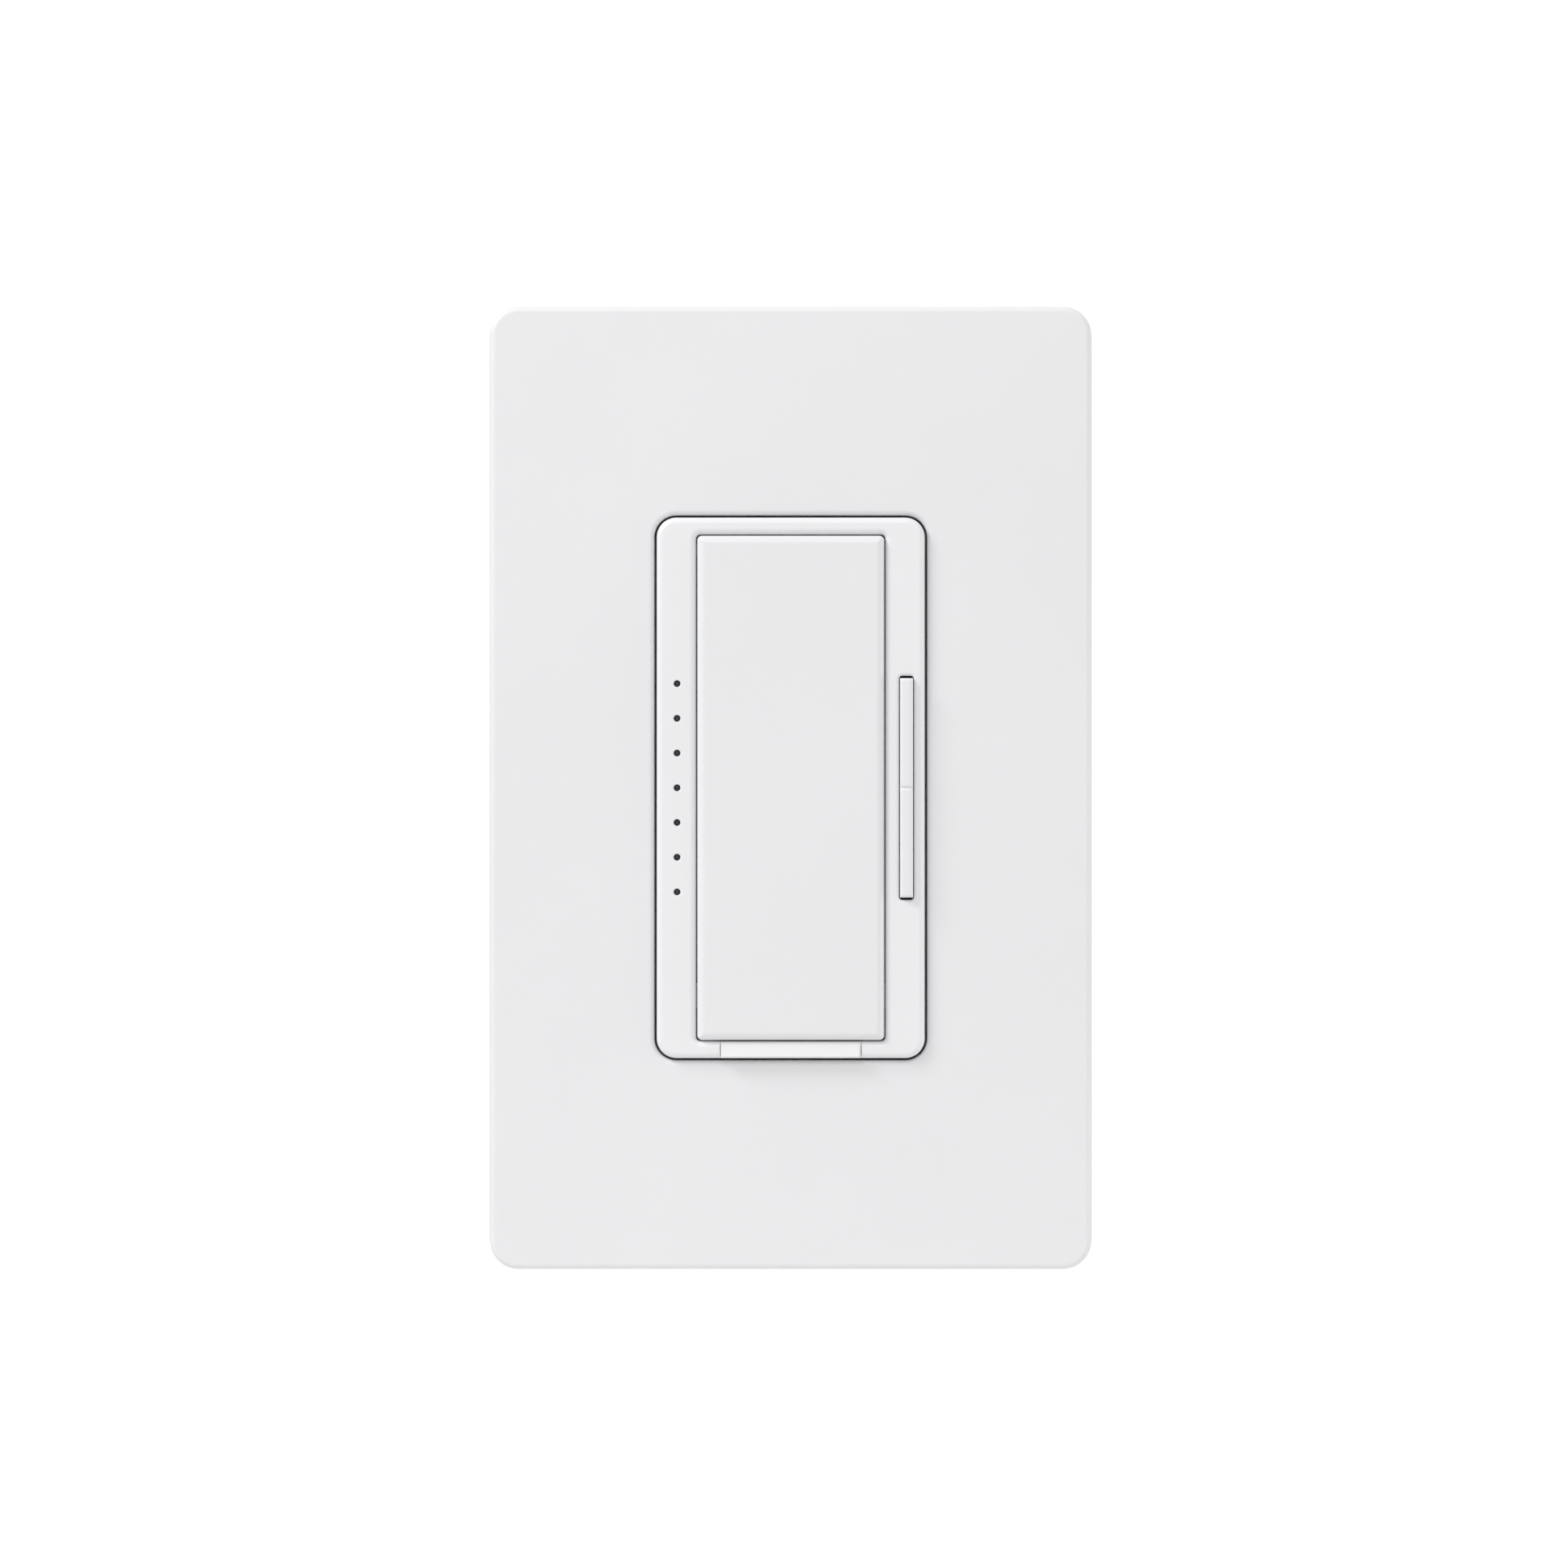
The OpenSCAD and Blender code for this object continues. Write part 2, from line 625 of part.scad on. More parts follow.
module contact_leaf() color(COPPER) difference() {
    block(-leaf_w/2, leaf_w/2, leaf_y, leaf_y + leaf_t, leaf_tip_z, leaf_root_z + 1.4);
    rod_y(0, leaf_root_z, 0.8, 9, 12);
}

module moving_contact() color([0.85, 0.85, 0.86]) rod_y(0, contact_z, contact_r, leaf_y + leaf_t, 11.45);

module leaf_rivet() color(BRASS) {
    rod_y(0, leaf_root_z, 0.6, 9.9, 11.2);
    rod_y(0, leaf_root_z, 1.1, 9.5, 9.9 + eps);
}

module leaf_bracket() color(BRASS) {
    block(-2.5, 2.5, 11.2, 12.0, -9.8, -5.8);
    block(-2.5, 2.5, 12.0 - eps, power_y, -6.6, -5.8);
}

module fixed_contact() color(BRASS) {
    rod_y(0, contact_z, contact_r, 11.5, 11.9 + eps);
    block(-14, 2, 11.9, 12.7, -25.5, -22.5);
    block(-14, -13.2, 12.7 - eps, power_y, -25.5, -22.5);
}

/* Power board and its parts, in the rear housing */

module power_board() color(BOARD_GREEN) difference() {
    slab(36, 57, 1, power_y, power_y + power_t);
    at_pins() rod_y(0, 0, pin_hole_r, power_y - 1, power_y + 3);
    for (lead = LEADS) rod_y(lead[0], lead[1], lead[2] + 0.1, power_y - 1, power_y + 3);
    for (x = [-support_x, support_x], z = [-support_z, support_z])
        rod_y(x, z, 0.95, power_y - 1, power_y + 3);
}

// The leads of one part, from depth y0 down through the power board
module leads(list, y0) for (lead = list) rod_y(lead[0], lead[1], lead[2], y0, lead_end);

module triac() color(CHARCOAL) {
    half_w = 5.1;
    lead_half = 0.4;
    difference() {
        block(triac_x - half_w, triac_x + half_w, pad_t, pad_t + 1.3, 12, 19.5);
        rod_y(triac_x, triac_hole_z, 1.85, -1, 5);
    }
    block(triac_x - half_w, triac_x + half_w, pad_t, pad_t + 4.4, 4, 13.2);
    for (i = [-1:1]) let (x = triac_x + i*2.54) {
        block(x - lead_half, x + lead_half, pad_t + 2.1, pad_t + 2.7, 0.9, 4 + eps);
        block(x - lead_half, x + lead_half, pad_t + 2.1, power_y, 0.4, 1.0);
    }
}

module triac_insulator() color([0.75, 0.78, 0.80]) difference() {
    block(triac_x - 6, triac_x + 6, 0, pad_t, 3, 20.4);
    rod_y(triac_x, triac_hole_z, 1.7, -1, 1);
}

module triac_rivet() color(STEEL) {
    rod_y(triac_x, triac_hole_z, 1.55, yoke_front, 1.7);
    rod_y(triac_x, triac_hole_z, 3.0, pad_t + 1.32, 2.4);
}

module choke_core() color([0.45, 0.46, 0.30])
    translate([choke_x, choke_y, choke_z]) rotate([90, 0, 0]) rotate_extrude()
        translate([(choke_outer + choke_inner)/2, 0])
            square([choke_outer - choke_inner, 2*choke_half_h], center = true);

// Turns of enamelled wire round the core, each a closed loop with square corners
module choke_winding() color(COPPER) {
    turns = 20;
    wire = 0.8;
    gap = 0.05;
    for (i = [0:turns - 1]) translate([choke_x, choke_y, choke_z]) rotate([0, 27 + 306*i/(turns - 1), 0])
        difference() {
            block(choke_inner - wire - gap, choke_outer + wire + gap,
                -choke_half_h - wire - gap, choke_half_h + wire + gap, -wire/2, wire/2);
            block(choke_inner - gap, choke_outer + gap, -choke_half_h - gap, choke_half_h + gap,
                -wire, wire);
        }
}

module film_capacitor() color([0.72, 0.16, 0.12]) {
    translate([FILM_LEADS[0][0], 0, (FILM_LEADS[0][1] + FILM_LEADS[1][1])/2])
        slab(9, 15, 0.8, 14.2, power_y - 0.3);
    leads(FILM_LEADS, power_y - 0.4);
}

module supply_capacitor() color([0.10, 0.12, 0.20]) {
    rod_y(CAN_LEADS[0][0], (CAN_LEADS[0][1] + CAN_LEADS[1][1])/2, 4, 11, power_y - 0.3);
    leads(CAN_LEADS, power_y - 0.4);
}

module varistor() color([0.12, 0.30, 0.60]) {
    disc_r = 4.5;
    disc_t = 3.6;
    translate([(DISC_LEADS[0][0] + DISC_LEADS[1][0])/2, 16.6, DISC_LEADS[0][1] - disc_t/2])
        cylinder(h = disc_t, r = disc_r);
    leads(DISC_LEADS, 19);
}

module fusible_resistor() color([0.60, 0.72, 0.62]) {
    axis_y = 19.8;
    z = FUSE_LEADS[0][1];
    wire = FUSE_LEADS[0][2];
    end = FUSE_LEADS[1][0] + wire;
    rod_x(axis_y, z, 1.5, -4.5, 4.5);
    for (s = [-1, 1]) rod_x(axis_y, z, wire, s > 0 ? 4.4 : -end, s > 0 ? end : -4.4);
    leads(FUSE_LEADS, axis_y - wire);
}

/* Terminals */

module at_terminal(t) translate([0, terminal_y, t[1]]) rotate([0, t[0] > 0 ? 0 : 180, 0]) children();

module terminal_plates() color(BRASS) for (t = TERMINALS) at_terminal(t) {
    difference() {
        block(pocket_floor, pocket_floor + 1, -4.4, 4.4, -4.2, 4.2);
        rod_x(0, 0, thread_r + 0.03, 15, 20);
    }
    block(13.6, pocket_floor + eps, 3.5, 4.3, -1.5, 1.5);
    block(13.6, 14.4, 4.3 - eps, power_y - terminal_y, -1.5, 1.5);
}

module terminal_screw(t, tint) color(tint) at_terminal(t) {
    translate([pocket_floor + 1.15, 0, 0]) rotate([0, 0, 90]) screw_head(3.5, 2.2, 0.9);
    rod_x(0, 0, thread_r, 14.9, pocket_floor + 1.16);
}

module line_screw() terminal_screw(LINE, [0.14, 0.14, 0.15]);

module load_screw() terminal_screw(LOAD, BRASS);

module remote_screw() terminal_screw(REMOTE, [0.20, 0.32, 0.62]);

module ground_screw() color([0.10, 0.45, 0.22]) translate([ground_x, ground_y, ground_z]) {
    rotate([90, 0, 0]) screw_head(3.5, 2.0, 0.9);
    translate([0, 0, -eps]) cylinder(h = 1.7, r = thread_r);
}

/* Rear housing */

module rear_housing() color(CHARCOAL) {
    post_r = 2.6;
    inner_w = housing_w - 2*housing_wall;
    inner_h = housing_h - 2*housing_wall;
    inner_back = housing_depth - housing_back_t;
    difference() {
        union() {
            difference() {
                mirror([0, 1, 0]) soft_slab(housing_w, housing_h, 3, -housing_depth, 0, 1.2);
                slab(inner_w, inner_h, 1.2, -1, inner_back);
            }
            intersection() {
                union() {
                    for (x = [-1, 1], z = [-1, 1]) {
                        rod_y(x*clamp_x, z*clamp_z, post_r, 0, inner_back + 1);
                        rod_y(x*support_x, z*support_z, 2, power_y + power_t, inner_back + 1);
                    }
                    for (t = TERMINALS) at_terminal(t)
                        block(pocket_floor - pocket_skin, housing_w/2 - 0.5,
                            pocket_y0 - pocket_skin - terminal_y, pocket_y1 + pocket_skin - terminal_y,
                            -pocket_h/2 - pocket_skin, pocket_h/2 + pocket_skin);
                }
                slab(housing_w - 0.4, housing_h - 0.4, 2.8, 0, housing_depth - 0.5);
            }
        }
        for (t = TERMINALS) at_terminal(t) {
            block(pocket_floor, housing_w/2 + 1, pocket_y0 - terminal_y, pocket_y1 - terminal_y,
                -pocket_h/2, pocket_h/2);
            rod_x(0, 0, 2.0, 12, 20);
            block(12, 20, 3.4, 4.4 - eps, -1.6, 1.6);
        }
        for (x = [-1, 1], z = [-1, 1]) {
            rod_y(x*clamp_x, z*clamp_z, clamp_r + 0.1, -1, housing_depth + 1);
            rod_y(x*clamp_x, z*clamp_z, 2.3, housing_depth - 2.2, housing_depth + 1);
        }
        slab(26, 40, 1.5, housing_depth - 0.4, housing_depth + 1);
        for (z = [-29, -27, -25]) block(-9, 9, housing_depth - 0.6, housing_depth + 1, z - 0.4, z + 0.4);
    }
}

module housing_screws() color(STEEL)
    for (x = [-1, 1], z = [-1, 1]) translate([x*clamp_x, 0, z*clamp_z]) {
        translate([0, housing_depth - 2.2, 0]) rotate([180, 0, 0]) screw_head(2.1, 1.5, 0.6);
        rod_y(0, 0, clamp_r, boss_front + 0.5, housing_depth - 2.2 + eps);
    }

wall_plate();
adapter_plate();
adapter_screws();
yoke();
mounting_screws();
screw_retainers();
front_frame();
light_pipe();
control_board();
board_insulator();
status_leds();
microcontroller();
board_passives();
header_block();
header_pins();
tap_switch();
raise_switch();
lower_switch();
tap_plunger();
raise_plunger();
lower_plunger();
tap_paddle();
paddle_springs();
dimming_rocker();
air_gap_tab();
contact_leaf();
moving_contact();
leaf_rivet();
leaf_bracket();
fixed_contact();
power_board();
triac();
triac_insulator();
triac_rivet();
choke_core();
choke_winding();
film_capacitor();
supply_capacitor();
varistor();
fusible_resistor();
terminal_plates();
line_screw();
load_screw();
remote_screw();
ground_screw();
rear_housing();
housing_screws();
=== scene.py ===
"""Wall dimmer: the looks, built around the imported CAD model.

Lengths are in millimetres, in the model's own frame, until a mesh is made. X is to the right,
Y goes into the wall and Z is up. Places and sizes are read from the CAD nodes wherever they can be.
"""
import math

import bmesh
import bpy
from mathutils import Matrix, Vector


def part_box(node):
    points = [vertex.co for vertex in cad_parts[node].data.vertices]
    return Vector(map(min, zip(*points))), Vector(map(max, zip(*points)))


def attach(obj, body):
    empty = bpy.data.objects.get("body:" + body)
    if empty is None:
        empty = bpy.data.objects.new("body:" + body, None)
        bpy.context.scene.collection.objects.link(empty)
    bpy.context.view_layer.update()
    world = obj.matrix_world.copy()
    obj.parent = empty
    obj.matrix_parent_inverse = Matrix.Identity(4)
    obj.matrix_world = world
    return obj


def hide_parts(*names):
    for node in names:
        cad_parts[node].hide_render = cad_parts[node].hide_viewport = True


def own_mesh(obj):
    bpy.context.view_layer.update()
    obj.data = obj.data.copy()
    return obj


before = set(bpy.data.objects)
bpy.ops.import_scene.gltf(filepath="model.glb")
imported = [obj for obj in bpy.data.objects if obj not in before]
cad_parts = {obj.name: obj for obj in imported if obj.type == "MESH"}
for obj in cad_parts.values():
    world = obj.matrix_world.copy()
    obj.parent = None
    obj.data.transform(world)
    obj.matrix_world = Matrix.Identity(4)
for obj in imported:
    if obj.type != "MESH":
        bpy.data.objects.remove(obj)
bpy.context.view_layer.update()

MM = 0.001
SMOOTH_ANGLE = 32
WAVE_SPREAD = 6.2832  # puts the bands of a wave texture about two sizes apart
WHITE = (0.80, 0.80, 0.812)


# ---- places, read from the CAD model

def span(node):
    """Lowest and highest corner of a CAD node, in millimetres."""
    lo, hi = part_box(node)
    return lo / MM, hi / MM


def middle(node):
    return [(low + high) / 2 for low, high in zip(*span(node))]


def face_of(node):
    """(x0, x1, z0, z1) of a CAD node's front face: its vertices close behind its frontmost one."""
    close = 1.0
    points = [v.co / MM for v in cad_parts[node].data.vertices]
    front = min(p.y for p in points)
    near = [p for p in points if p.y < front + close]
    xs, zs = [p.x for p in near], [p.z for p in near]
    return min(xs), max(xs), min(zs), max(zs)


# ---- outlines and edge profiles

def angles(n):
    """n steps of a full turn."""
    return [2 * math.pi * i / n for i in range(n)]


def rectangle(w, h, r, at=(0, 0), n=8):
    """A function from an inset to the outline of a rectangle with round corners, in X and Z."""
    def outline(inset):
        a, b, c = w / 2 - inset, h / 2 - inset, max(r - inset, 0.01)
        turn = [math.pi / 2 * (k + i / n) for k in range(4) for i in range(n + 1)]
        signs = [s for s in ((1, 1), (-1, 1), (-1, -1), (1, -1)) for _ in range(n + 1)]
        return [(at[0] + sx * (a - c) + c * math.cos(t), at[1] + sz * (b - c) + c * math.sin(t))
                for t, (sx, sz) in zip(turn, signs)]
    return outline


def circle(r, at=(0, 0), n=40):
    """A function from an inset to a circle's outline, in X and Z."""
    def outline(inset):
        return [(at[0] + (r - inset) * math.cos(a), at[1] + (r - inset) * math.sin(a)) for a in angles(n)]
    return outline


def rounded(y0, y1, front=0.0, back=0.0, n=5):
    """(depth, inset) pairs from y0 to y1, whose front and back edges are quarter circles."""
    arc = [(1 - math.cos(math.pi / 2 * i / n), 1 - math.sin(math.pi / 2 * i / n)) for i in range(n + 1)]
    head = [(y0 + front * d, front * s) for d, s in arc] if front else [(y0, 0)]
    tail = [(y1 - back * d, back * s) for d, s in reversed(arc)] if back else [(y1, 0)]
    return head + tail


def flared(y0, y1, front=0.0, back=0.0, past=1.0):
    """The profile of a cutter that runs past both faces and rounds the rims it leaves."""
    wide = [(y, -inset) for y, inset in rounded(y0, y1, front, back)]
    return [(y0 - past, -front)] + wide + [(y1 + past, -back)]


# ---- solids

def placed(name, data):
    """An object of this data, in the scene."""
    obj = bpy.data.objects.new(name, data)
    bpy.context.scene.collection.objects.link(obj)
    return obj


def solid_from(bm):
    data = bpy.data.meshes.new("solid")
    bm.to_mesh(data)
    bm.free()
    return placed("solid", data)


def mesh_of(rows, closed=False):
    """A closed mesh through rows of points, all of one length. Its ends are capped, or joined if closed."""
    bm = bmesh.new()
    rings = [[bm.verts.new(Vector(p) * MM) for p in row] for row in rows]
    pairs = list(zip(rings, rings[1:])) + ([(rings[-1], rings[0])] if closed else [])
    for a, b in pairs:
        for i in range(len(a)):
            j = (i + 1) % len(a)
            bm.faces.new((a[i], a[j], b[j], b[i]))
    if not closed:
        bm.faces.new(rings[0])
        bm.faces.new(rings[-1])
    bmesh.ops.recalc_face_normals(bm, faces=bm.faces)
    return solid_from(bm)


def prism(outline, profile):
    """A solid whose outline, in X and Z, is inset by depth as the profile says."""
    return mesh_of([[(x, y, z) for x, z in outline(inset)] for y, inset in profile])


def slab(w, h, r, y0, y1, front=0.0, back=0.0, at=(0, 0), n=8):
    return prism(rectangle(w, h, r, at, n), rounded(y0, y1, front, back))


def block(x0, x1, y0, y1, z0, z1, edge=0.08):
    """A box between two corners, with all its edges slightly rounded."""
    e = min(edge, 0.45 * min(x1 - x0, y1 - y0, z1 - z0))
    at = ((x0 + x1) / 2, (z0 + z1) / 2)
    return prism(rectangle(x1 - x0, z1 - z0, e, at, 3), rounded(y0, y1, e, e, 3))


def peg(r, y0, y1, front=0.0, back=0.0, at=(0, 0), n=40):
    return prism(circle(r, at, n), rounded(y0, y1, front, back, 4))


def turned(profile, at=(0, 0), n=48):
    """A solid of revolution about Y, from (depth, radius) pairs."""
    return mesh_of([[(x, y, z) for x, z in circle(r, at, n)(0)] for y, r in profile])


def moved(obj, matrix):
    obj.data.transform(matrix)
    if matrix.determinant() < 0:
        obj.data.flip_normals()
    return obj


def shift(x=0.0, y=0.0, z=0.0):
    return Matrix.Translation(Vector((x, y, z)) * MM)


def turn(degrees, axis):
    return Matrix.Rotation(math.radians(degrees), 4, axis)


def both_sides(obj):
    """The solid and its mirror image in X, as a list."""
    return [obj, moved(placed(obj.name, obj.data.copy()), Matrix.Scale(-1, 4, (1, 0, 0)))]


def combine(body, tools, operation):
    for tool in tools:
        change = body.modifiers.new("combine", "BOOLEAN")
        change.operation, change.solver, change.object = operation, "MANIFOLD", tool
        evaluated = body.evaluated_get(bpy.context.evaluated_depsgraph_get())
        result = bpy.data.meshes.new_from_object(evaluated)
        body.modifiers.clear()
        body.data = result
        bpy.data.objects.remove(tool)
    return body


def cut(body, *tools):
    return combine(body, tools, "DIFFERENCE")


def fuse(body, *others):
    return combine(body, others, "UNION")


def group(*objects):
    """Separate solids that share one piece."""
    bm = bmesh.new()
    for obj in objects:
        bm.from_mesh(obj.data)
        bpy.data.objects.remove(obj)
    return solid_from(bm)


def thread(r, y0, y1, pitch):
    """A screw's threaded shank along Y. The thread runs out at both ends."""
    depth, root, taper, n, per_turn = 0.46, 0.25, 0.25, 36, 10
    rows = []
    steps = max(2, round((y1 - y0) / pitch * per_turn))
    for k in range(steps + 1):
        y = y0 + (y1 - y0) * k / steps
        fade = min(1.0, (y - y0) / pitch, (y1 - y) / pitch)
        row = []
        for i in range(n):
            phase = ((y / pitch) - i / n) % 1.0
            ridge = max(0.0, abs(2 * phase - 1) * (1 + root) - root)
            radius = r - depth * (1 - ridge * max(0.0, fade)) - taper * max(0.0, 1 - (y1 - y) / pitch)
            row.append((radius * math.cos(2 * math.pi * i / n), y, radius * math.sin(2 * math.pi * i / n)))
        rows.append(row)
    return mesh_of(rows)


def screw_head(r, h, slot, cross):
    """A domed head on the plane y = 0 that stands towards -Y, with a slot and a cross in it."""
    rim, slot_depth, cross_depth = 0.07 * h, 0.45 * h, 0.35 * h
    dome = [(-h * math.sin(a), r * math.cos(a) ** 0.6 + 1e-3)
            for a in (math.pi / 2 * i / 9 for i in range(9, 0, -1))]
    head = turned(dome + [(-rim, r), (0, r - 0.08)])
    long_slot = prism(rectangle(slot, 2.2 * r, 0.05, n=2), [(-h - 1, 0), (-slot_depth, 0)])
    short_slot = prism(rectangle(cross, slot, 0.05, n=2), [(-h - 1, 0), (-cross_depth, 0)])
    return cut(head, long_slot, short_slot)


def tube(points, r, n=10):
    """A round wire through points, carried along without twisting."""
    pts = [Vector(p) for p in points]
    rows, side = [], None
    for i, p in enumerate(pts):
        along = (pts[min(i + 1, len(pts) - 1)] - pts[max(i - 1, 0)]).normalized()
        if side is None:
            side = along.orthogonal().normalized()
        side = (side - along * side.dot(along)).normalized()
        other = along.cross(side)
        rows.append([p + r * (side * math.cos(a) + other * math.sin(a)) for a in angles(n)])
    return mesh_of(rows)


def strip(path, thickness, width, at=0.0):
    """Bent sheet metal: a path in Y and Z, given as (y, z), thickened to one side and width wide in X."""
    points = [Vector(p) for p in path]
    offset = []
    for i, p in enumerate(points):
        a = (p - points[i - 1]).normalized() if i else None
        b = (points[i + 1] - p).normalized() if i + 1 < len(points) else None
        a, b = a or b, b or a
        across = Vector((-(a.y + b.y), a.x + b.x)).normalized()
        offset.append(p + across * thickness / max(0.5, across.dot(Vector((-a.y, a.x)))))
    section = points + offset[::-1]
    return mesh_of([[(at + x, p.x, p.y) for p in section] for x in (-width / 2, width / 2)])


def give(obj, material):
    obj.data.materials.clear()
    obj.data.materials.append(material)


def weigh_normals(obj):
    obj.modifiers.new("normals", "WEIGHTED_NORMAL").keep_sharp = True


def finish_piece(obj, name, body, material, stands_for="", smooth=SMOOTH_ANGLE):
    obj.name = obj.data.name = name
    give(obj, material)
    obj.data.polygons.foreach_set("use_smooth", [True] * len(obj.data.polygons))
    obj.data.set_sharp_from_angle(angle=math.radians(smooth))
    weigh_normals(obj)
    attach(obj, body)
    if stands_for:
        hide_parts(stands_for)
    return obj


def fixed(obj, name, material, stands_for="", smooth=SMOOTH_ANGLE):
    """A piece of the body that doesn't move."""
    return finish_piece(obj, name, "chassis", material, stands_for, smooth)


def dress(node, material, bevel):
    """A CAD node whose shape is right keeps it, with eased edges and its material."""
    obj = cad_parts[node]
    give(obj, material)
    obj.modifiers.new("weld", "WELD").merge_threshold = 1e-6
    if bevel:
        edges = obj.modifiers.new("edges", "BEVEL")
        edges.width, edges.segments = bevel * MM, 2
        edges.limit_method, edges.angle_limit = "ANGLE", math.radians(SMOOTH_ANGLE)
        edges.use_clamp_overlap = True
    weigh_normals(obj)


# ---- materials

class Shader:
    """A Principled material. Constants go on the shader's own sockets, and patterns are linked."""

    def __init__(self, name, **constants):
        self.material = bpy.data.materials.new(name)
        self.material.use_nodes = True
        self.tree = self.material.node_tree
        self.bsdf = self.tree.nodes["Principled BSDF"]
        for socket, value in constants.items():
            self.bsdf.inputs[socket.replace("_", " ")].default_value = value
        self.place = self.add("ShaderNodeTexCoord").outputs["Object"]
        self.height = None

    def add(self, kind, **settings):
        node = self.tree.nodes.new(kind)
        for key, value in settings.items():
            setattr(node, key, value)
        return node

    def wire(self, source, target):
        self.tree.links.new(source, target)

    def stretched(self, scale):
        mapping = self.add("ShaderNodeMapping")
        self.wire(self.place, mapping.inputs["Vector"])
        mapping.inputs["Scale"].default_value = scale
        return mapping.outputs["Vector"]

    def noise(self, size, detail=3.0, rough=0.55, stretch=(1, 1, 1)):
        """Smooth noise whose features are about size millimetres across."""
        node = self.add("ShaderNodeTexNoise")
        self.wire(self.stretched(stretch), node.inputs["Vector"])
        node.inputs["Scale"].default_value = 1 / (size * MM)
        node.inputs["Detail"].default_value = detail
        node.inputs["Roughness"].default_value = rough
        return node.outputs["Fac"]

    def islands(self, size):
        """Distance from scattered points, measured so that each point's surroundings are square."""
        node = self.add("ShaderNodeTexVoronoi", distance="CHEBYCHEV")
        self.wire(self.place, node.inputs["Vector"])
        node.inputs["Scale"].default_value = 1 / (size * MM)
        return node.outputs["Distance"]

    def tracks(self, width, height, line):
        """Lines between staggered rectangles of width by height, in millimetres, in X and Z."""
        upright = self.add("ShaderNodeMapping")
        self.wire(self.place, upright.inputs["Vector"])
        upright.inputs["Rotation"].default_value = (math.pi / 2, 0, 0)
        node = self.add("ShaderNodeTexBrick")
        self.wire(upright.outputs["Vector"], node.inputs["Vector"])
        for key, number in (("Scale", 1 / MM), ("Mortar Size", line), ("Mortar Smooth", 0.2),
                            ("Brick Width", width), ("Row Height", height)):
            node.inputs[key].default_value = number
        return node.outputs["Fac"]

    def waves(self, size, direction):
        node = self.add("ShaderNodeTexWave", bands_direction=direction)
        self.wire(self.place, node.inputs["Vector"])
        node.inputs["Scale"].default_value = 1 / (size * MM) / WAVE_SPREAD
        node.inputs["Detail"].default_value = 1.0
        return node.outputs["Fac"]

    def levels(self, value, low, high, out_low=0.0, out_high=1.0):
        node = self.add("ShaderNodeMapRange")
        self.wire(value, node.inputs["Value"])
        for key, number in zip(("From Min", "From Max", "To Min", "To Max"), (low, high, out_low, out_high)):
            node.inputs[key].default_value = number
        return node.outputs["Result"]

    def join(self, a, b, operation="MULTIPLY"):
        node = self.add("ShaderNodeMath", operation=operation)
        self.wire(a, node.inputs[0])
        self.wire(b, node.inputs[1])
        return node.outputs[0]

    def colours(self, value, low_colour, high_colour, low=0.3, high=0.7):
        node = self.add("ShaderNodeValToRGB")
        self.wire(value, node.inputs["Fac"])
        ends = node.color_ramp.elements
        ends[0].position, ends[0].color = low, low_colour
        ends[1].position, ends[1].color = high, high_colour
        return node.outputs["Color"]

    def base(self, colour):
        self.wire(colour, self.bsdf.inputs["Base Color"])

    def shades(self, value, colour, dark, light, low=0.3, high=0.7):
        self.base(self.colours(value, tint(colour, dark), tint(colour, light), low, high))

    def roughness(self, value, low, high):
        self.wire(self.levels(value, 0.3, 0.7, low, high), self.bsdf.inputs["Roughness"])

    def bump(self, value, height):
        """Relief of height millimetres. A second call lies on top of the first."""
        node = self.add("ShaderNodeBump")
        self.wire(value, node.inputs["Height"])
        node.inputs["Distance"].default_value = height * MM
        if self.height is not None:
            self.wire(self.height, node.inputs["Normal"])
        self.height = node.outputs["Normal"]
        for old in [x for x in self.tree.links if x.to_socket == self.bsdf.inputs["Normal"]]:
            self.tree.links.remove(old)
        self.wire(self.height, self.bsdf.inputs["Normal"])


def tint(colour, factor):
    return tuple(min(1.0, c * factor) for c in colour[:3]) + (1,)


def moulded(name, colour, rough, peel, vary=0.015):
    """Injection moulded plastic: faint flow tone, orange peel and a fine grain in its gloss."""
    s = Shader(name, Specular_IOR_Level=0.5, IOR=1.52)
    s.shades(s.noise(24, 2), colour, 0.992, 1.005, 0.35, 0.65)
    s.roughness(s.noise(8, 1), rough - vary, rough + vary)
    s.bump(s.noise(2.2, 2), peel)
    s.bump(s.noise(0.16, 3), peel * 0.12)
    return s.material


def sparked(name, colour, rough, size=0.22, height=0.02, vary=0.11):
    """Plastic from a spark-eroded mould: an even, matt, pebbled grain."""
    s = Shader(name, Specular_IOR_Level=0.4, IOR=1.5)
    s.shades(s.noise(9, 4), colour, 1 - vary, 1 + vary, 0.35, 0.65)
    s.roughness(s.noise(0.8, 4), rough - 0.06, rough + 0.06)
    s.bump(s.noise(size, 4, 0.65), height)
    return s.material


def brushed(name, colour, rough, along=(1, 1, 0.04)):
    """Rolled or brushed metal, whose lines run the way that its pattern is stretched."""
    s = Shader(name, Metallic=1.0)
    lines = s.noise(0.12, 4, 0.6, along)
    s.shades(lines, colour, 0.86, 1.08)
    s.roughness(lines, rough - 0.08, rough + 0.08)
    s.bump(lines, 0.004)
    return s.material


def plated(name, colour, rough, spot=0.9):
    """Plated or lacquered fasteners: cloudy plating with small pits."""
    s = Shader(name, Metallic=1.0)
    cloud = s.noise(spot, 5, 0.6)
    s.shades(cloud, colour, 0.80, 1.06)
    s.roughness(cloud, rough + 0.08, rough - 0.06)
    s.bump(s.noise(0.12, 3), 0.004)
    return s.material


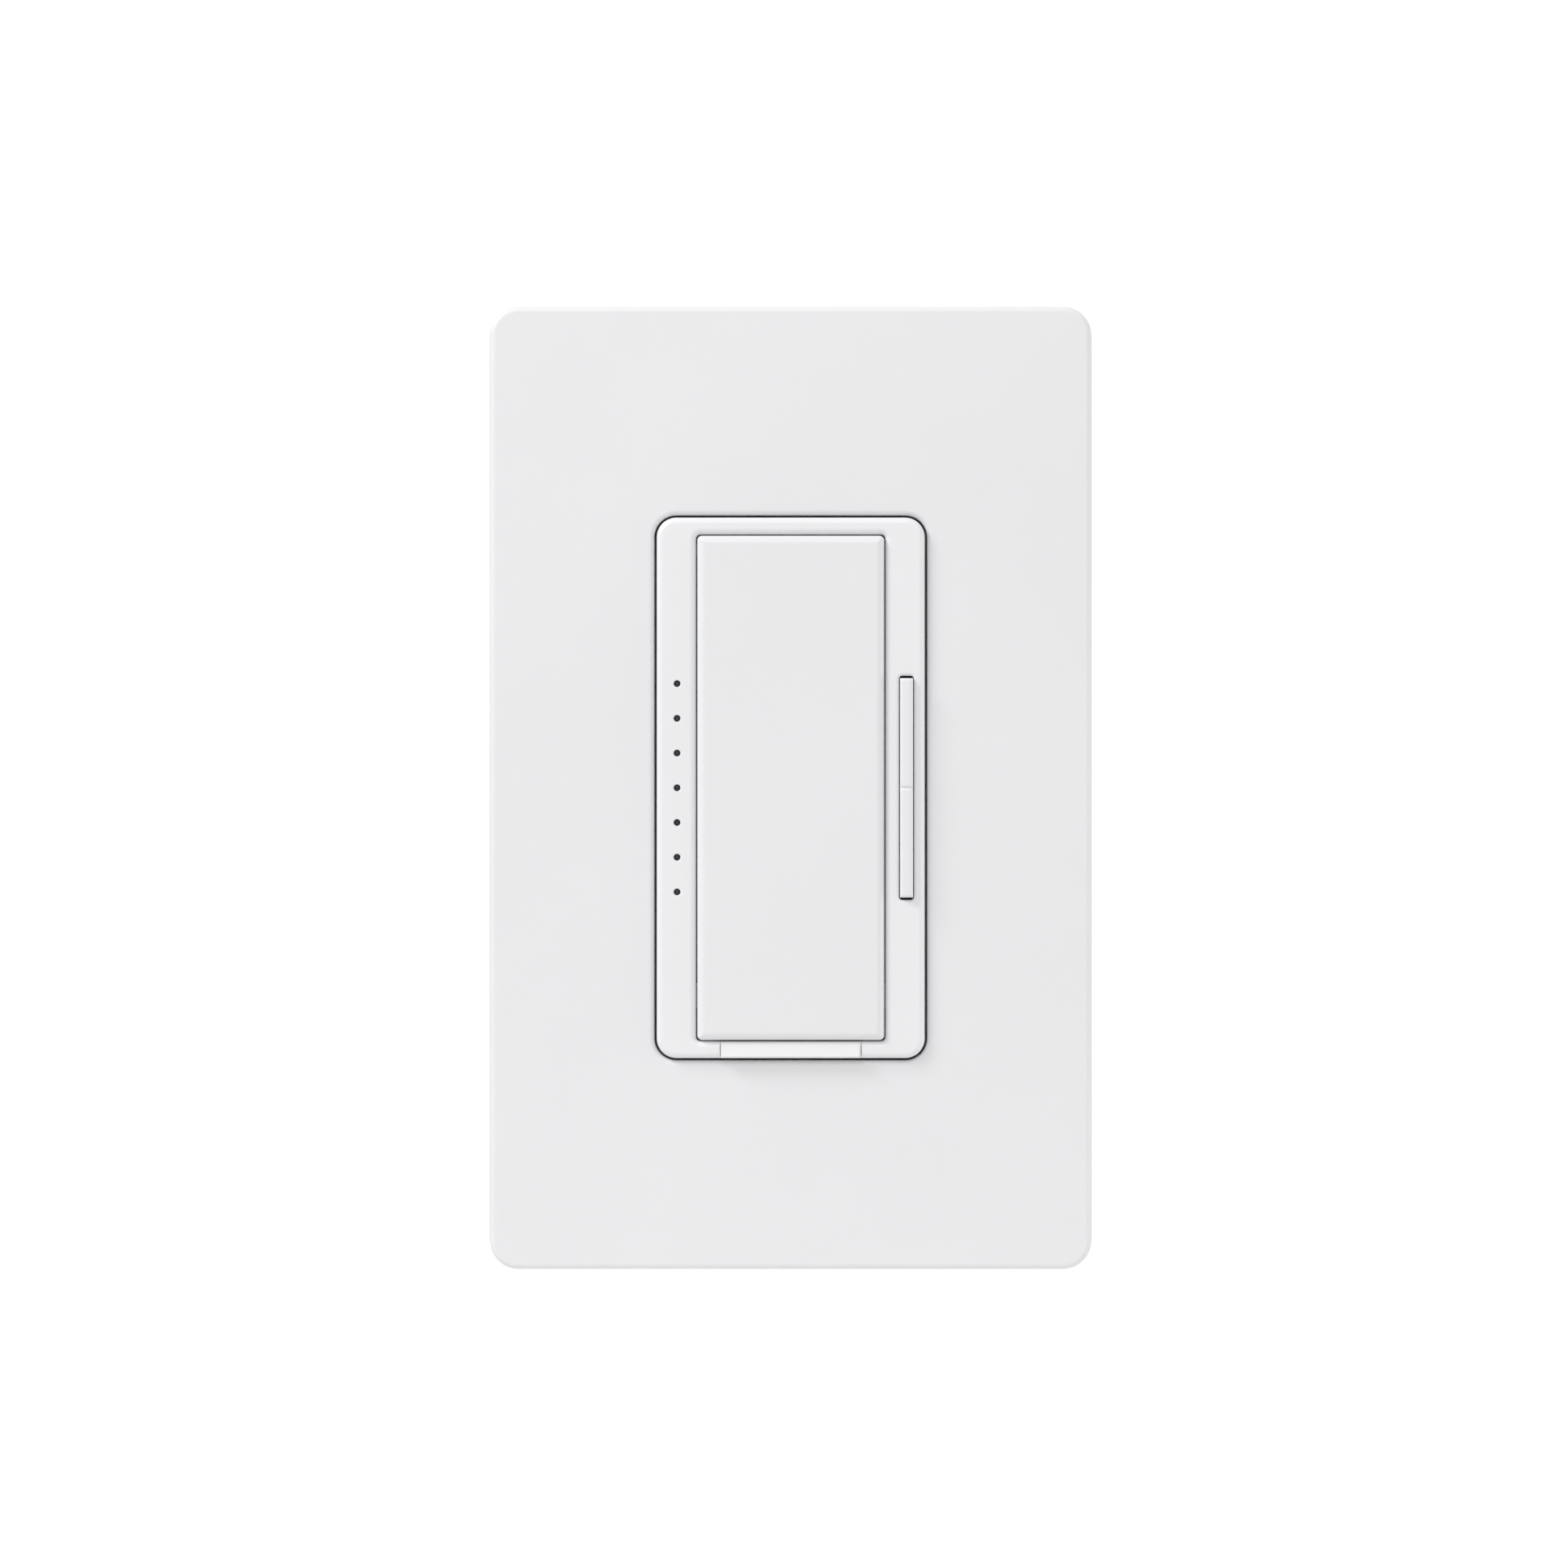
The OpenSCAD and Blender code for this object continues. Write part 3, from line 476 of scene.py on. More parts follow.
def lacquered(name, colour, rough=0.32, metallic=0.35):
    s = Shader(name, Metallic=metallic, Coat_Weight=0.3, Coat_Roughness=0.2)
    s.shades(s.noise(0.7, 4), colour, 0.78, 1.15)
    s.roughness(s.noise(0.5, 4), rough - 0.06, rough + 0.08)
    s.bump(s.noise(0.25, 3), 0.006)
    return s.material


def fibre(name, colour):
    """Vulcanised fibre: short pressed fibres, slightly mottled."""
    s = Shader(name, Specular_IOR_Level=0.25)
    strands = s.noise(0.10, 5, 0.7, (1, 1, 0.25))
    s.shades(strands, colour, 0.72, 1.22)
    s.roughness(strands, 0.62, 0.80)
    s.bump(strands, 0.02)
    return s.material


def circuit_board(name, colour):
    """Solder mask over glass fibre. Copper lies lighter under it, and the weave shows faintly."""
    s = Shader(name, Specular_IOR_Level=0.5, Coat_Weight=0.25, Coat_Roughness=0.15)
    weave = s.join(s.waves(0.55, "X"), s.waves(0.55, "Z"))
    pours = s.levels(s.islands(7.5), 0.30, 0.31, 1, 0)
    runs = s.join(s.tracks(19.3, 1.27, 0.13), s.levels(s.noise(7, 1), 0.46, 0.47))
    copper = s.join(runs, pours, "MAXIMUM")
    s.shades(copper, colour, 0.70, 1.5, 0.2, 0.8)
    s.roughness(weave, 0.24, 0.40)
    s.bump(copper, 0.03)
    s.bump(weave, 0.006)
    return s.material


def dipped(name, colour, rough=0.18):
    """Dipped epoxy or enamel: thick, glossy and a little uneven."""
    s = Shader(name, Coat_Weight=0.6, Coat_Roughness=0.08, Specular_IOR_Level=0.5)
    s.shades(s.noise(3.0, 3), colour, 0.82, 1.12)
    s.roughness(s.noise(1.0, 3), rough - 0.05, rough + 0.08)
    s.bump(s.noise(1.6, 2), 0.05)
    return s.material


def clear(name, colour, rough, transmission):
    s = Shader(name, Transmission_Weight=transmission, IOR=1.49)
    s.shades(s.noise(4.0, 2), colour, 0.94, 1.04)
    s.roughness(s.noise(0.8, 3), rough, rough + 0.06)
    s.bump(s.noise(1.5, 2), 0.004)
    return s.material


def ceramic(name, colour, rough=0.5):
    s = Shader(name, Specular_IOR_Level=0.4)
    s.shades(s.noise(0.35, 5, 0.7), colour, 0.80, 1.15)
    s.roughness(s.noise(0.4, 3), rough - 0.08, rough + 0.08)
    s.bump(s.noise(0.08, 4), 0.006)
    return s.material


plate_white = moulded("plate_white", WHITE, 0.36, 0.003, 0.03)
frame_white = moulded("frame_white", tint(WHITE, 1.035), 0.32, 0.0015)
paddle_white = moulded("paddle_white", WHITE, 0.32, 0.0015)
rocker_white = moulded("rocker_white", WHITE, 0.32, 0.001)
tab_white = moulded("tab_white", (0.80, 0.80, 0.795), 0.32, 0.001)
adapter_white = sparked("adapter_white", (0.70, 0.70, 0.705), 0.55, vary=0.03)
# Near-black colour on the light pipe: painted shade that makes the LED holes look dark.
hole_shade_acrylic = clear("acrylic_dark_for_hole_shade", (0.05, 0.05, 0.055), 0.12, 0.25)
aluminium = brushed("yoke_aluminium", (0.58, 0.59, 0.60), 0.34)
zinc = plated("zinc_plate", (0.46, 0.47, 0.49), 0.30)
brown_fibre = fibre("brown_fibre", (0.20, 0.085, 0.035))
housing_black = sparked("housing_charcoal", (0.022, 0.022, 0.024), 0.50)
brass = brushed("brass", (0.78, 0.57, 0.22), 0.28, (1, 0.05, 1))
copper = brushed("spring_copper", (0.80, 0.42, 0.24), 0.30, (1, 1, 0.05))
silver = plated("silver_contact", (0.86, 0.86, 0.84), 0.25, 0.4)
spring_wire = plated("spring_wire", (0.60, 0.61, 0.62), 0.24, 0.5)
green_board = circuit_board("green_board", (0.015, 0.13, 0.045))
amber_film = clear("amber_film", (0.62, 0.36, 0.08), 0.22, 0.35)
chip_black = ceramic("chip_black", (0.020, 0.020, 0.022))
tan_ceramic = ceramic("tan_ceramic", (0.42, 0.27, 0.15))
tinned = plated("tinned_lead", (0.58, 0.58, 0.57), 0.30, 0.4)
lamp_body = clear("lamp_body", (0.82, 0.78, 0.55), 0.3, 0.3)
button_red = sparked("button_red", (0.45, 0.035, 0.02), 0.42, 0.15, 0.008)
gold_pin = plated("gold_pin", (0.86, 0.64, 0.26), 0.22, 0.5)
mica_grey = ceramic("mica_grey", (0.48, 0.50, 0.50), 0.6)
core_green = ceramic("core_green", (0.16, 0.22, 0.05), 0.42)
enamel = dipped("enamelled_copper", (0.50, 0.14, 0.03), 0.22)
film_red = dipped("film_red", (0.36, 0.02, 0.012))
can_sleeve = dipped("can_sleeve", (0.012, 0.018, 0.05), 0.25)
varistor_blue = dipped("varistor_blue", (0.02, 0.09, 0.34))
resistor_green = ceramic("resistor_green", (0.16, 0.28, 0.17), 0.38)
screw_black = lacquered("screw_black", (0.030, 0.030, 0.032), 0.38, 0.7)
screw_brass = plated("screw_brass", (0.80, 0.60, 0.24), 0.28)
screw_blue = lacquered("screw_blue", (0.02, 0.08, 0.36))
screw_green = lacquered("screw_green", (0.01, 0.20, 0.05))
label_foil = brushed("label_foil", (0.55, 0.56, 0.57), 0.45)


# ---- sizes and places that the pieces share

PLATE_CORNER, PLATE_EDGE, PLATE_DRAFT, PLATE_WALL, PLATE_FACE = 3.9, 0.7, 0.40, 1.6, 1.8
# Radii of the openings' front rims
PLATE_RIM, WINDOW_RIM, SLOT_RIM, LED_RIM, NOTCH_RIM = 0.65, 0.80, 0.42, 0.16, 0.22
FRAME_CORNER, FRAME_EDGE, FRAME_SKIN, FRAME_WALL = 2.4, 0.75, 1.6, 1.0
FRAME_GAP, PADDLE_GAP, ROCKER_GAP, ROCKER_END_GAP, TAB_GAP = 0.31, 0.12, 0.09, 0.30, 0.03
HINGE_Y, HINGE_Z, ROCKER_PIVOT_Y = -5.8, 29.2, -5.6
PADDLE_EAR_X = (12.15, 13.35)
CLAMP_X, CLAMP_Z = 18.9, 31.4
LED_COUNT, LED_HOLE_R = 7, 0.41
PADDLE_EDGE = 1.0
CLEARANCE = 0.03

plate_lo, plate_hi = span("wall_plate")
frame_x0, frame_x1, frame_z0, frame_z1 = face_of("front_frame")
frame_lo, frame_hi = span("front_frame")
frame_w, frame_h = frame_x1 - frame_x0, frame_z1 - frame_z0
paddle_x0, paddle_x1, paddle_z0, paddle_z1 = face_of("tap_paddle")
paddle_lo, paddle_hi = span("tap_paddle")
paddle_w, paddle_h = paddle_x1 - paddle_x0, paddle_z1 - paddle_z0
rocker_x0, rocker_x1, rocker_z0, rocker_z1 = face_of("dimming_rocker")
rocker_lo = span("dimming_rocker")[0]
rocker_x, rocker_w, rocker_h = (rocker_x0 + rocker_x1) / 2, rocker_x1 - rocker_x0, rocker_z1 - rocker_z0
tab_x0, tab_x1, tab_z0 = face_of("air_gap_tab")[:3]
tab_lo, tab_hi = span("air_gap_tab")
leds_lo, leds_hi = span("status_leds")
led_x = (leds_lo.x + leds_hi.x) / 2
led_first, led_last = leds_lo.z + 0.8, leds_hi.z - 0.8
led_rows = [led_first + (led_last - led_first) * i / (LED_COUNT - 1) for i in range(LED_COUNT)]
yoke_front = span("yoke")[0].y
board_lo = span("control_board")[0]
housing_back = span("rear_housing")[1].y
power_lo, power_hi = span("power_board")


# ---- wall plate

def wall_plate():
    w, h, front = plate_hi.x - plate_lo.x, plate_hi.z - plate_lo.z, plate_lo.y
    inner_w, inner_h, inner_y = w - 2 * PLATE_WALL, h - 2 * PLATE_WALL, front + PLATE_FACE
    foot, sunk, rib_half, rib_end = 0.12, 0.3, 0.4, -4.2
    collar_wall, collar_corner, collar_end = 1.2, 3.9, -4.9
    open_w, open_h = frame_w + 2 * FRAME_GAP, frame_h + 2 * FRAME_GAP
    opening = rectangle(open_w, open_h, FRAME_CORNER + FRAME_GAP, n=12)
    collar = rectangle(open_w + 2 * collar_wall, open_h + 2 * collar_wall, collar_corner, n=12)
    face = [(y, inset + PLATE_DRAFT) for y, inset in rounded(front, -foot, PLATE_EDGE)[:-1]]
    body = prism(rectangle(w, h, PLATE_CORNER, n=14), face + [(-foot, 0.01), (0, foot)])
    hollow = prism(rectangle(inner_w, inner_h, PLATE_CORNER - PLATE_WALL, n=10),
                   [(inner_y, 0.4), (inner_y + 0.12, 0.12), (inner_y + 0.4, 0), (1, 0)])
    cut(body, hollow)
    reach_x, reach_z = inner_w / 2 + sunk, inner_h / 2 + sunk
    ribs = [block(x - rib_half, x + rib_half, inner_y - sunk, rib_end, -reach_z, reach_z) for x in (-27, 27)]
    ribs += [block(-reach_x, reach_x, inner_y - sunk, rib_end, z - rib_half, z + rib_half)
             for z in (-53, -39, 39, 53)]
    ring = prism(collar, rounded(inner_y - sunk, collar_end, 0, 0.15))
    fuse(body, *ribs, ring)
    fuse(body, *snap_wedges(inner_w / 2, inner_h / 2))
    cut(body, prism(opening, flared(front, collar_end, PLATE_RIM, 0.15)))
    cut(body, slab(10, 2 * PLATE_WALL + 1, 0.3, -1.2, 1, at=(0, plate_lo.z)))
    fixed(body, "wall_plate_shell", plate_white, "wall_plate")


def snap_wedges(half_w, half_h):
    """Wedges on the inside of the plate's walls, which catch in the adapter's windows."""
    def wedge():
        section = [(0.3, -2.2), (-1.2, -1.7), (-1.2, -1.1), (0.3, -0.5)]
        return mesh_of([[(x, y, z) for x, y in section] for z in (-4, 4)])

    made = []
    for z in (-38, 0, 38):
        made += both_sides(moved(wedge(), shift(half_w, 0, z)))
    for side in (-90, 90):
        for x in (-20, 20):
            made.append(moved(wedge(), turn(side, "Y") @ shift(half_h, 0, x)))
    return made


# ---- front frame

def front_frame():
    front, back = frame_lo.y, frame_hi.y
    inner, root, flange = front + FRAME_SKIN, front + FRAME_SKIN - 0.3, 1.2
    boss_r, boss_bore, boss_front = 2.1, 1.15, -4.4
    clamps = [(x, z) for x in (-CLAMP_X, CLAMP_X) for z in (-CLAMP_Z, CLAMP_Z)]
    window_w, window_h = paddle_w + 2 * PADDLE_GAP, paddle_h + 2 * PADDLE_GAP
    cavity = rectangle(frame_w - 2 * FRAME_WALL, frame_h - 2 * FRAME_WALL, FRAME_CORNER - FRAME_WALL, n=8)
    body = slab(frame_w, frame_h, FRAME_CORNER, front, back, FRAME_EDGE, 0, n=12)
    fuse(body, slab(frame_hi.x - frame_lo.x, frame_hi.z - frame_lo.z, 2, back - flange, back, 0.2, 0.1))
    cut(body, prism(cavity, [(inner, 0.3), (inner + 0.3, 0), (back + 1, 0)]))
    bosses = [peg(boss_r, boss_front, back - 1, 0.2, at=at) for at in clamps]
    ears = both_sides(block(*PADDLE_EAR_X, root, HINGE_Y + 1.4, HINGE_Z - 1.5, HINGE_Z + 1.5))
    for x0, x1 in ((rocker_x - 1.8, rocker_x - 1.0), (rocker_x + 1.0, frame_w / 2 - 0.5)):
        ears.append(block(x0, x1, root, ROCKER_PIVOT_Y + 1.2, -1.5, 1.5))
    fuse(body, *bosses, *ears)
    cut(body, prism(rectangle(window_w, window_h, 0.5, n=5), flared(front, inner, WINDOW_RIM, 0.1, 0.6)))
    slot = rectangle(rocker_w + 2 * ROCKER_GAP, rocker_h + 2 * ROCKER_END_GAP, 0.4, (rocker_x, 0), 5)
    cut(body, prism(slot, flared(front, inner, SLOT_RIM, 0.05, 0.6)))
    cut(body, *[prism(circle(LED_HOLE_R, (led_x, z), 28), flared(front, inner, LED_RIM)) for z in led_rows])
    notch_top = -window_h / 2 + 0.5
    notch_h = notch_top + frame_h / 2 + 1
    notch = rectangle(tab_x1 - tab_x0 + 2 * TAB_GAP, notch_h, 0.05, (0, notch_top - notch_h / 2), 2)
    cut(body, prism(notch, flared(front, back - flange, NOTCH_RIM, 0, 0.6)[:-1]))
    hinge_bore = moved(peg(0.85, 12, 13.5), shift(0, HINGE_Y, HINGE_Z) @ turn(-90, "Z"))
    rocker_bore = moved(peg(0.65, -2, 1.8), shift(rocker_x, ROCKER_PIVOT_Y, 0) @ turn(-90, "Z"))
    cut(body, *both_sides(hinge_bore), rocker_bore)
    cut(body, *[peg(boss_bore, boss_front + 0.3, 1, at=at) for at in clamps])
    fixed(body, "front_frame_moulding", frame_white, "front_frame")


def light_pipe():
    """One acrylic moulding, coloured near black as painted shade for the LED holes: a bar on two feet, with
    a domed post in each hole.
    """
    front = span("light_pipe")[0].y
    bar = frame_lo.y + FRAME_SKIN + 0.2
    body = block(led_x - 1, led_x + 1, bar, bar + 1.4, -15, 15, 0.2)
    for z in led_rows:
        post = turned([(front + 0.1 * (1 - s), (LED_HOLE_R - 0.05) * c)
                       for s, c in ((1, 0.12), (0.85, 0.55), (0.5, 0.85), (0, 1))]
                      + [(bar + 0.3, LED_HOLE_R - 0.05)], (led_x, z), 28)
        fuse(body, post)
    feet = [block(led_x - 1, led_x + 1, bar + 1.2, board_lo.y, z - 0.4, z + 0.4) for z in (-14.6, 14.6)]
    fuse(body, *feet)
    fixed(body, "light_pipe_moulding", hole_shade_acrylic, "light_pipe")


# ---- moving controls

def tap_paddle():
    front, back, skin, skirt = paddle_lo.y, -5.9, 1.4, 1.0
    cross_end, long_end, stud_end, ear_end, stop_x = -6.5, -6.9, -6.7, -4.9, 12.6
    inner, root, rib_half = front + skin, front + skin - 0.3, 0.4
    body = slab(paddle_w, paddle_h, 0.6, front, back, PADDLE_EDGE, 0.1, n=6)
    cut(body, prism(rectangle(paddle_w - 2 * skirt, paddle_h - 2 * skirt, 0.3, n=4),
                    [(inner, 0.25), (inner + 0.25, 0), (1, 0)]))
    rib_x, rib_z = paddle_w / 2 - 0.5, paddle_h / 2 - 0.5
    ribs = [block(-rib_x, rib_x, root, cross_end, z - rib_half, z + rib_half) for z in (-20, -6, 6, 18)]
    ribs += [block(x - rib_half, x + rib_half, root, long_end, -rib_z, rib_z) for x in (-3.6, 3.6)]
    plunger_lo = span("tap_plunger")[0]
    post = peg(1.5, root, plunger_lo.y - CLEARANCE, 0, 0.15, at=(0, plunger_lo.z + 1.1))
    spring_lo, spring_hi = span("paddle_springs")
    studs = both_sides(peg(1.0, root, stud_end, 0, 0.2, at=(7, (spring_lo.z + spring_hi.z) / 2)))
    side, stop_front = paddle_w / 2, frame_lo.y + FRAME_SKIN + CLEARANCE
    ears = both_sides(block(side - skirt, side, back - 0.3, ear_end, HINGE_Z - 1, HINGE_Z + 1))
    pins = both_sides(moved(peg(0.8, side - 0.3, paddle_hi.x, 0, 0.15),
                            shift(0, HINGE_Y, HINGE_Z) @ turn(-90, "Z")))
    stops = both_sides(block(side - 0.5, stop_x, stop_front, back, -27, -24, 0.05))
    fuse(body, *ribs, post, *studs, *ears, *pins, *stops)
    finish_piece(body, "tap_paddle_moulding", "paddle", paddle_white, "tap_paddle")


def dimming_rocker():
    """A slim bar, crowned across, with a V across its middle and eased ends."""
    front, back, half = rocker_lo.y, -6.3, rocker_w / 2
    notch_half, notch_depth, end_ease, crown = 0.28, 0.24, 0.40, 0.06
    edge = [(1, 0.42), (0.94, 0.18), (0.80, 0.05), (0.6, 0)]
    face = [(-x, drop) for x, drop in edge] + [(0, 0)] + edge[::-1]

    def row(z):
        dip = max(0.0, 1 - abs(z) / notch_half) * notch_depth
        from_end = min(1.0, (rocker_h / 2 - abs(z)) / end_ease)
        ease = end_ease * (1 - math.sqrt(max(0.0, 1 - (1 - from_end) ** 2)))
        top = [(rocker_x + half * x, front + drop + dip + ease + crown * x * x, z) for x, drop in face]
        return [(rocker_x + half, back, z)] + top[::-1] + [(rocker_x - half, back, z)]

    ends = [rocker_h / 2 - end_ease * (1 - math.cos(math.pi / 2 * i / 5)) for i in range(6)]
    stations = ends + [8, 4, 1, notch_half, notch_half / 2, 0]
    body = mesh_of([row(z) for z in stations] + [row(-z) for z in reversed(stations[:-1])])
    stem = block(rocker_x - 0.6, rocker_x + 0.6, back - 0.3, ROCKER_PIVOT_Y + 0.9, -1.2, 1.2)
    pin = moved(peg(0.6, -1.7, 1.7, 0.1, 0.1), shift(rocker_x, ROCKER_PIVOT_Y, 0) @ turn(-90, "Z"))
    leg_end = span("raise_plunger")[0].y - CLEARANCE
    legs = [block(rocker_x - 0.5, rocker_x + 0.5, back - 0.3, leg_end, z - 0.8, z + 0.8) for z in (-10, 10)]
    fuse(body, stem, pin, *legs)
    finish_piece(body, "dimming_rocker_bar", "rocker", rocker_white, "dimming_rocker")


def air_gap_tab():
    """A shallow pull: its rim follows the window's, and below is a lip that runs out to its full depth."""
    front, back = tab_lo.y, -3.4
    flat, top, rim, side_drop, side_ease = front + 0.35, paddle_z0 - PADDLE_GAP - TAB_GAP, 0.6, 0.25, 0.25
    rim_arc = [(flat + rim * (1 - math.cos(a)), top - rim * (1 - math.sin(a)))
               for a in (math.pi / 2 * i / 5 for i in range(5, -1, -1))]
    lip = [(0.06, 0.34), (0, 0.22), (0.06, 0.08), (0.22, 0)]
    section = [(back, top)] + rim_arc + [(front + y, tab_z0 + z) for y, z in lip] + [(back, tab_z0)]

    def row(x, drop):
        return [(x, max(y, flat + drop) if drop else y, z) for y, z in section]

    stations = [(0, side_drop), (side_ease / 3, side_drop / 3), (side_ease, 0)]
    body = mesh_of([row(tab_x0 + x, drop) for x, drop in stations]
                   + [row(tab_x1 - x, drop) for x, drop in stations[::-1]])
    leg_lo_z, leg_hi_z = -32.1, -31.1
    leg = block(-5, 5, back - 0.3, tab_hi.y - 1.0, leg_lo_z, leg_hi_z, 0.06)
    foot = block(-3, 3, tab_hi.y - 1.2, tab_hi.y, leg_lo_z, tab_hi.z, 0.06)
    fuse(body, leg, foot)
    finish_piece(body, "air_gap_pull_tab", "air_gap_slider", tab_white, "air_gap_tab")


wall_plate()
front_frame()
light_pipe()
tap_paddle()
dimming_rocker()
air_gap_tab()


# ---- screws

PITCH_6_32, THREAD_R = 0.794, 1.75


def machine_screw(head_r, head_h, slot, neck, length):
    """A 6-32 screw along Y. Its head's seat is at 0, and its thread starts after a plain neck."""
    head = screw_head(head_r, head_h, slot, 1.1 * head_r)
    shank = peg(THREAD_R - 0.3, -0.2, neck + 0.3)
    return group(head, shank, thread(THREAD_R, neck, length, PITCH_6_32))


def two_screws(node, seat, *sizes):
    """The same screw at both ends of the yoke, as far apart as the CAD model's."""
    centre = span(node)[1].z - sizes[0]
    return group(*[moved(machine_screw(*sizes), shift(0, seat, z)) for z in (-centre, centre)])


def terminal_screw(node, look):
    lo, hi = span(node)
    side, head_h, end = (1 if hi.x > 0 else -1), 2.2, 14.9
    head_seat = max(abs(lo.x), abs(hi.x)) - head_h
    screw = machine_screw(3.5, head_h, 0.9, 0.6, head_seat - end)
    _, y, z = middle(node)
    moved(screw, shift(side * head_seat, y, z) @ turn(90 * side, "Z"))
    fixed(screw, node + "_threaded", look, node)


box_screws = two_screws("mounting_screws", yoke_front, 3.2, 2.1, 0.9, 1.7, 19.0)
fixed(box_screws, "box_screws_threaded", zinc, "mounting_screws")
plate_screws = two_screws("adapter_screws", yoke_front - 2, 2.8, 1.7, 0.8, 0.5, 8.5)
fixed(plate_screws, "adapter_screws_threaded", zinc, "adapter_screws")
terminal_screw("line_screw", screw_black)
terminal_screw("load_screw", screw_brass)
terminal_screw("remote_screw", screw_blue)

ground_x, ground_y, _ = middle("ground_screw")
ground_top, ground_reach = span("ground_screw")[1].z, 1.69
ground = machine_screw(3.5, 2.0, 0.9, 0.4, ground_reach)
moved(ground, shift(ground_x, ground_y, ground_top - ground_reach) @ turn(90, "X"))
fixed(ground, "ground_screw_threaded", screw_green, "ground_screw")


# ---- springs and push buttons

def return_springs():
    """Two coil springs whose end turns lie flat."""
    lo, hi = span("paddle_springs")
    wire, turns, count = 0.18, 5, 150
    coil_r = (hi.z - lo.z) / 2 - wire
    middle_x, z = hi.x - coil_r - wire, (lo.z + hi.z) / 2
    coils = []
    for x in (-middle_x, middle_x):
        path = []
        for i in range(count + 1):
            t = i / count
            rise = min(1.0, max(0.0, (t - 0.12) / 0.76))
            angle = 2 * math.pi * turns * t
            path.append((x + coil_r * math.cos(angle), lo.y + wire + (hi.y - lo.y - 2 * wire) * rise,
                         z + coil_r * math.sin(angle)))
        coils.append(tube(path, wire))
    springs = fixed(group(*coils), "paddle_return_coils", spring_wire, "paddle_springs", 60)
    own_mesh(springs)


def push_button(node, body):
    lo, hi = span(node)
    x, _, z = middle(node)
    r = (hi.x - lo.x) / 2
    button = turned([(lo.y, 0.3 * r), (lo.y + 0.04, 0.7 * r), (lo.y + 0.12, 0.9 * r), (lo.y + 0.28, r),
                     (hi.y - 0.1, r), (hi.y, r - 0.1)], (x, z), 32)
    finish_piece(button, node + "_cap", body, button_red, node)


def tactile_switch(node, plunger):
    """A moulded base under a steel cover, which is riveted at its corners and has four solder feet."""
    lo, hi = span(node)
    hole_lo, hole_hi = span(plunger)
    x, _, z = middle(node)
    w, h, bore = hi.x - lo.x, hi.z - lo.z - 1.4, (hole_hi.x - hole_lo.x) / 2 + 0.05
    base = slab(w, h, 0.15, lo.y + 0.22, hi.y, 0, 0.05, (x, z), 3)
    cut(base, peg(bore + 0.1, lo.y - 1, hi.y - 0.2, at=(x, z)))
    cover = slab(w - 0.1, h - 0.1, 0.25, lo.y + 0.05, lo.y + 0.25, 0.06, 0, (x, z), 4)
    cut(cover, peg(bore, lo.y - 1, lo.y + 1, at=(x, z)))
    rivets = [peg(0.22, lo.y, lo.y + 0.1, 0.04, at=(x + i * (w / 2 - 0.45), z + k * (h / 2 - 0.45)), n=16)
              for i in (-1, 1) for k in (-1, 1)]
    feet = []
    for side in (-1, 1):
        path = [(hi.y - 1.2, z + side * h / 2), (hi.y - 0.35, z + side * h / 2),
                (hi.y - 0.15, z + side * (h / 2 + 0.25)), (hi.y - 0.15, z + side * (h / 2 + 0.7))]
        feet += [strip(path, -0.14 * side, 0.6, x + t * w) for t in (-0.3, 0.3)]
    fixed(base, node + "_base", chip_black, node)
    fixed(group(cover, *rivets, *feet), node + "_cover", tinned)


return_springs()
for name in ("tap", "raise", "lower"):
    push_button(name + "_plunger", name + "_button")
    tactile_switch(name + "_switch", name + "_plunger")


# ---- parts on the boards

def indicator_lamps():
    bases, lenses, ends = [], [], []
    for z in led_rows:
        bases.append(block(led_x - 0.48, led_x + 0.48, leds_hi.y - 0.5, leds_hi.y, z - 0.6, z + 0.6, 0.03))
        ends += [block(led_x - 0.5, led_x + 0.5, leds_hi.y - 0.3, leds_hi.y, z + s * 0.7 - 0.1,
                       z + s * 0.7 + 0.1, 0.02) for s in (-1, 1)]
        lenses.append(slab(1, 1, 0.2, leds_lo.y, leds_hi.y - 0.48, 0.22, at=(led_x, z)))
    fixed(group(*bases), "lamp_bases", mica_grey, "status_leds")
    fixed(group(*lenses), "lamp_lenses", lamp_body)
    fixed(group(*ends), "lamp_pads", tinned)


def microcontroller():
    """A flat pack with gull-wing leads on four sides and a dimple at its first lead."""
    lo, hi = span("microcontroller")
    half, pitch = 3.5, 0.8
    x, _, z = middle("microcontroller")
    body = slab(2 * half, 2 * half, 0.3, lo.y, hi.y - 0.15, 0.1, 0.1, (x, z))
    cut(body, peg(0.4, lo.y - 1, lo.y + 0.08, at=(x - half + 0.9, z + half - 0.9)))
    wing = [(hi.y - 0.45, half - 0.2), (hi.y - 0.45, half + 0.25), (hi.y - 0.14, half + 0.45),
            (hi.y - 0.14, half + 0.9)]
    leads = []
    for side in range(4):
        for i in range(-3, 4):
            leads.append(moved(strip(wing, -0.13, 0.4, i * pitch), shift(x, 0, z) @ turn(90 * side, "Y")))
    fixed(body, "microcontroller_body", chip_black, "microcontroller")
    fixed(group(*leads), "microcontroller_leads", tinned)


def chip_parts():
    bodies, ends = [], []
    for x, first, step in ((-7.8, 2, 2.6), (4.5, -16.4, 2.4)):
        for i in range(6):
            z = first + i * step
            bodies.append(block(x - 0.6, x + 0.6, board_lo.y - 0.55, board_lo.y, z + 0.05, z + 0.95, 0.04))
            ends += [block(end - 0.17, end + 0.17, board_lo.y - 0.6, board_lo.y, z, z + 1, 0.06)
                     for end in (x - 0.68, x + 0.68)]
    fixed(group(*bodies), "ceramic_bodies", tan_ceramic, "board_passives")
    fixed(group(*ends), "ceramic_end_caps", tinned)


FILM, CAN, DISC, FUSE = (-7.9, -22.0), (-14.3, -9.0), (9.0, -1.4), (0.0, 27.6)
FUSE_Y = 19.8
FUSE_REACH = 7
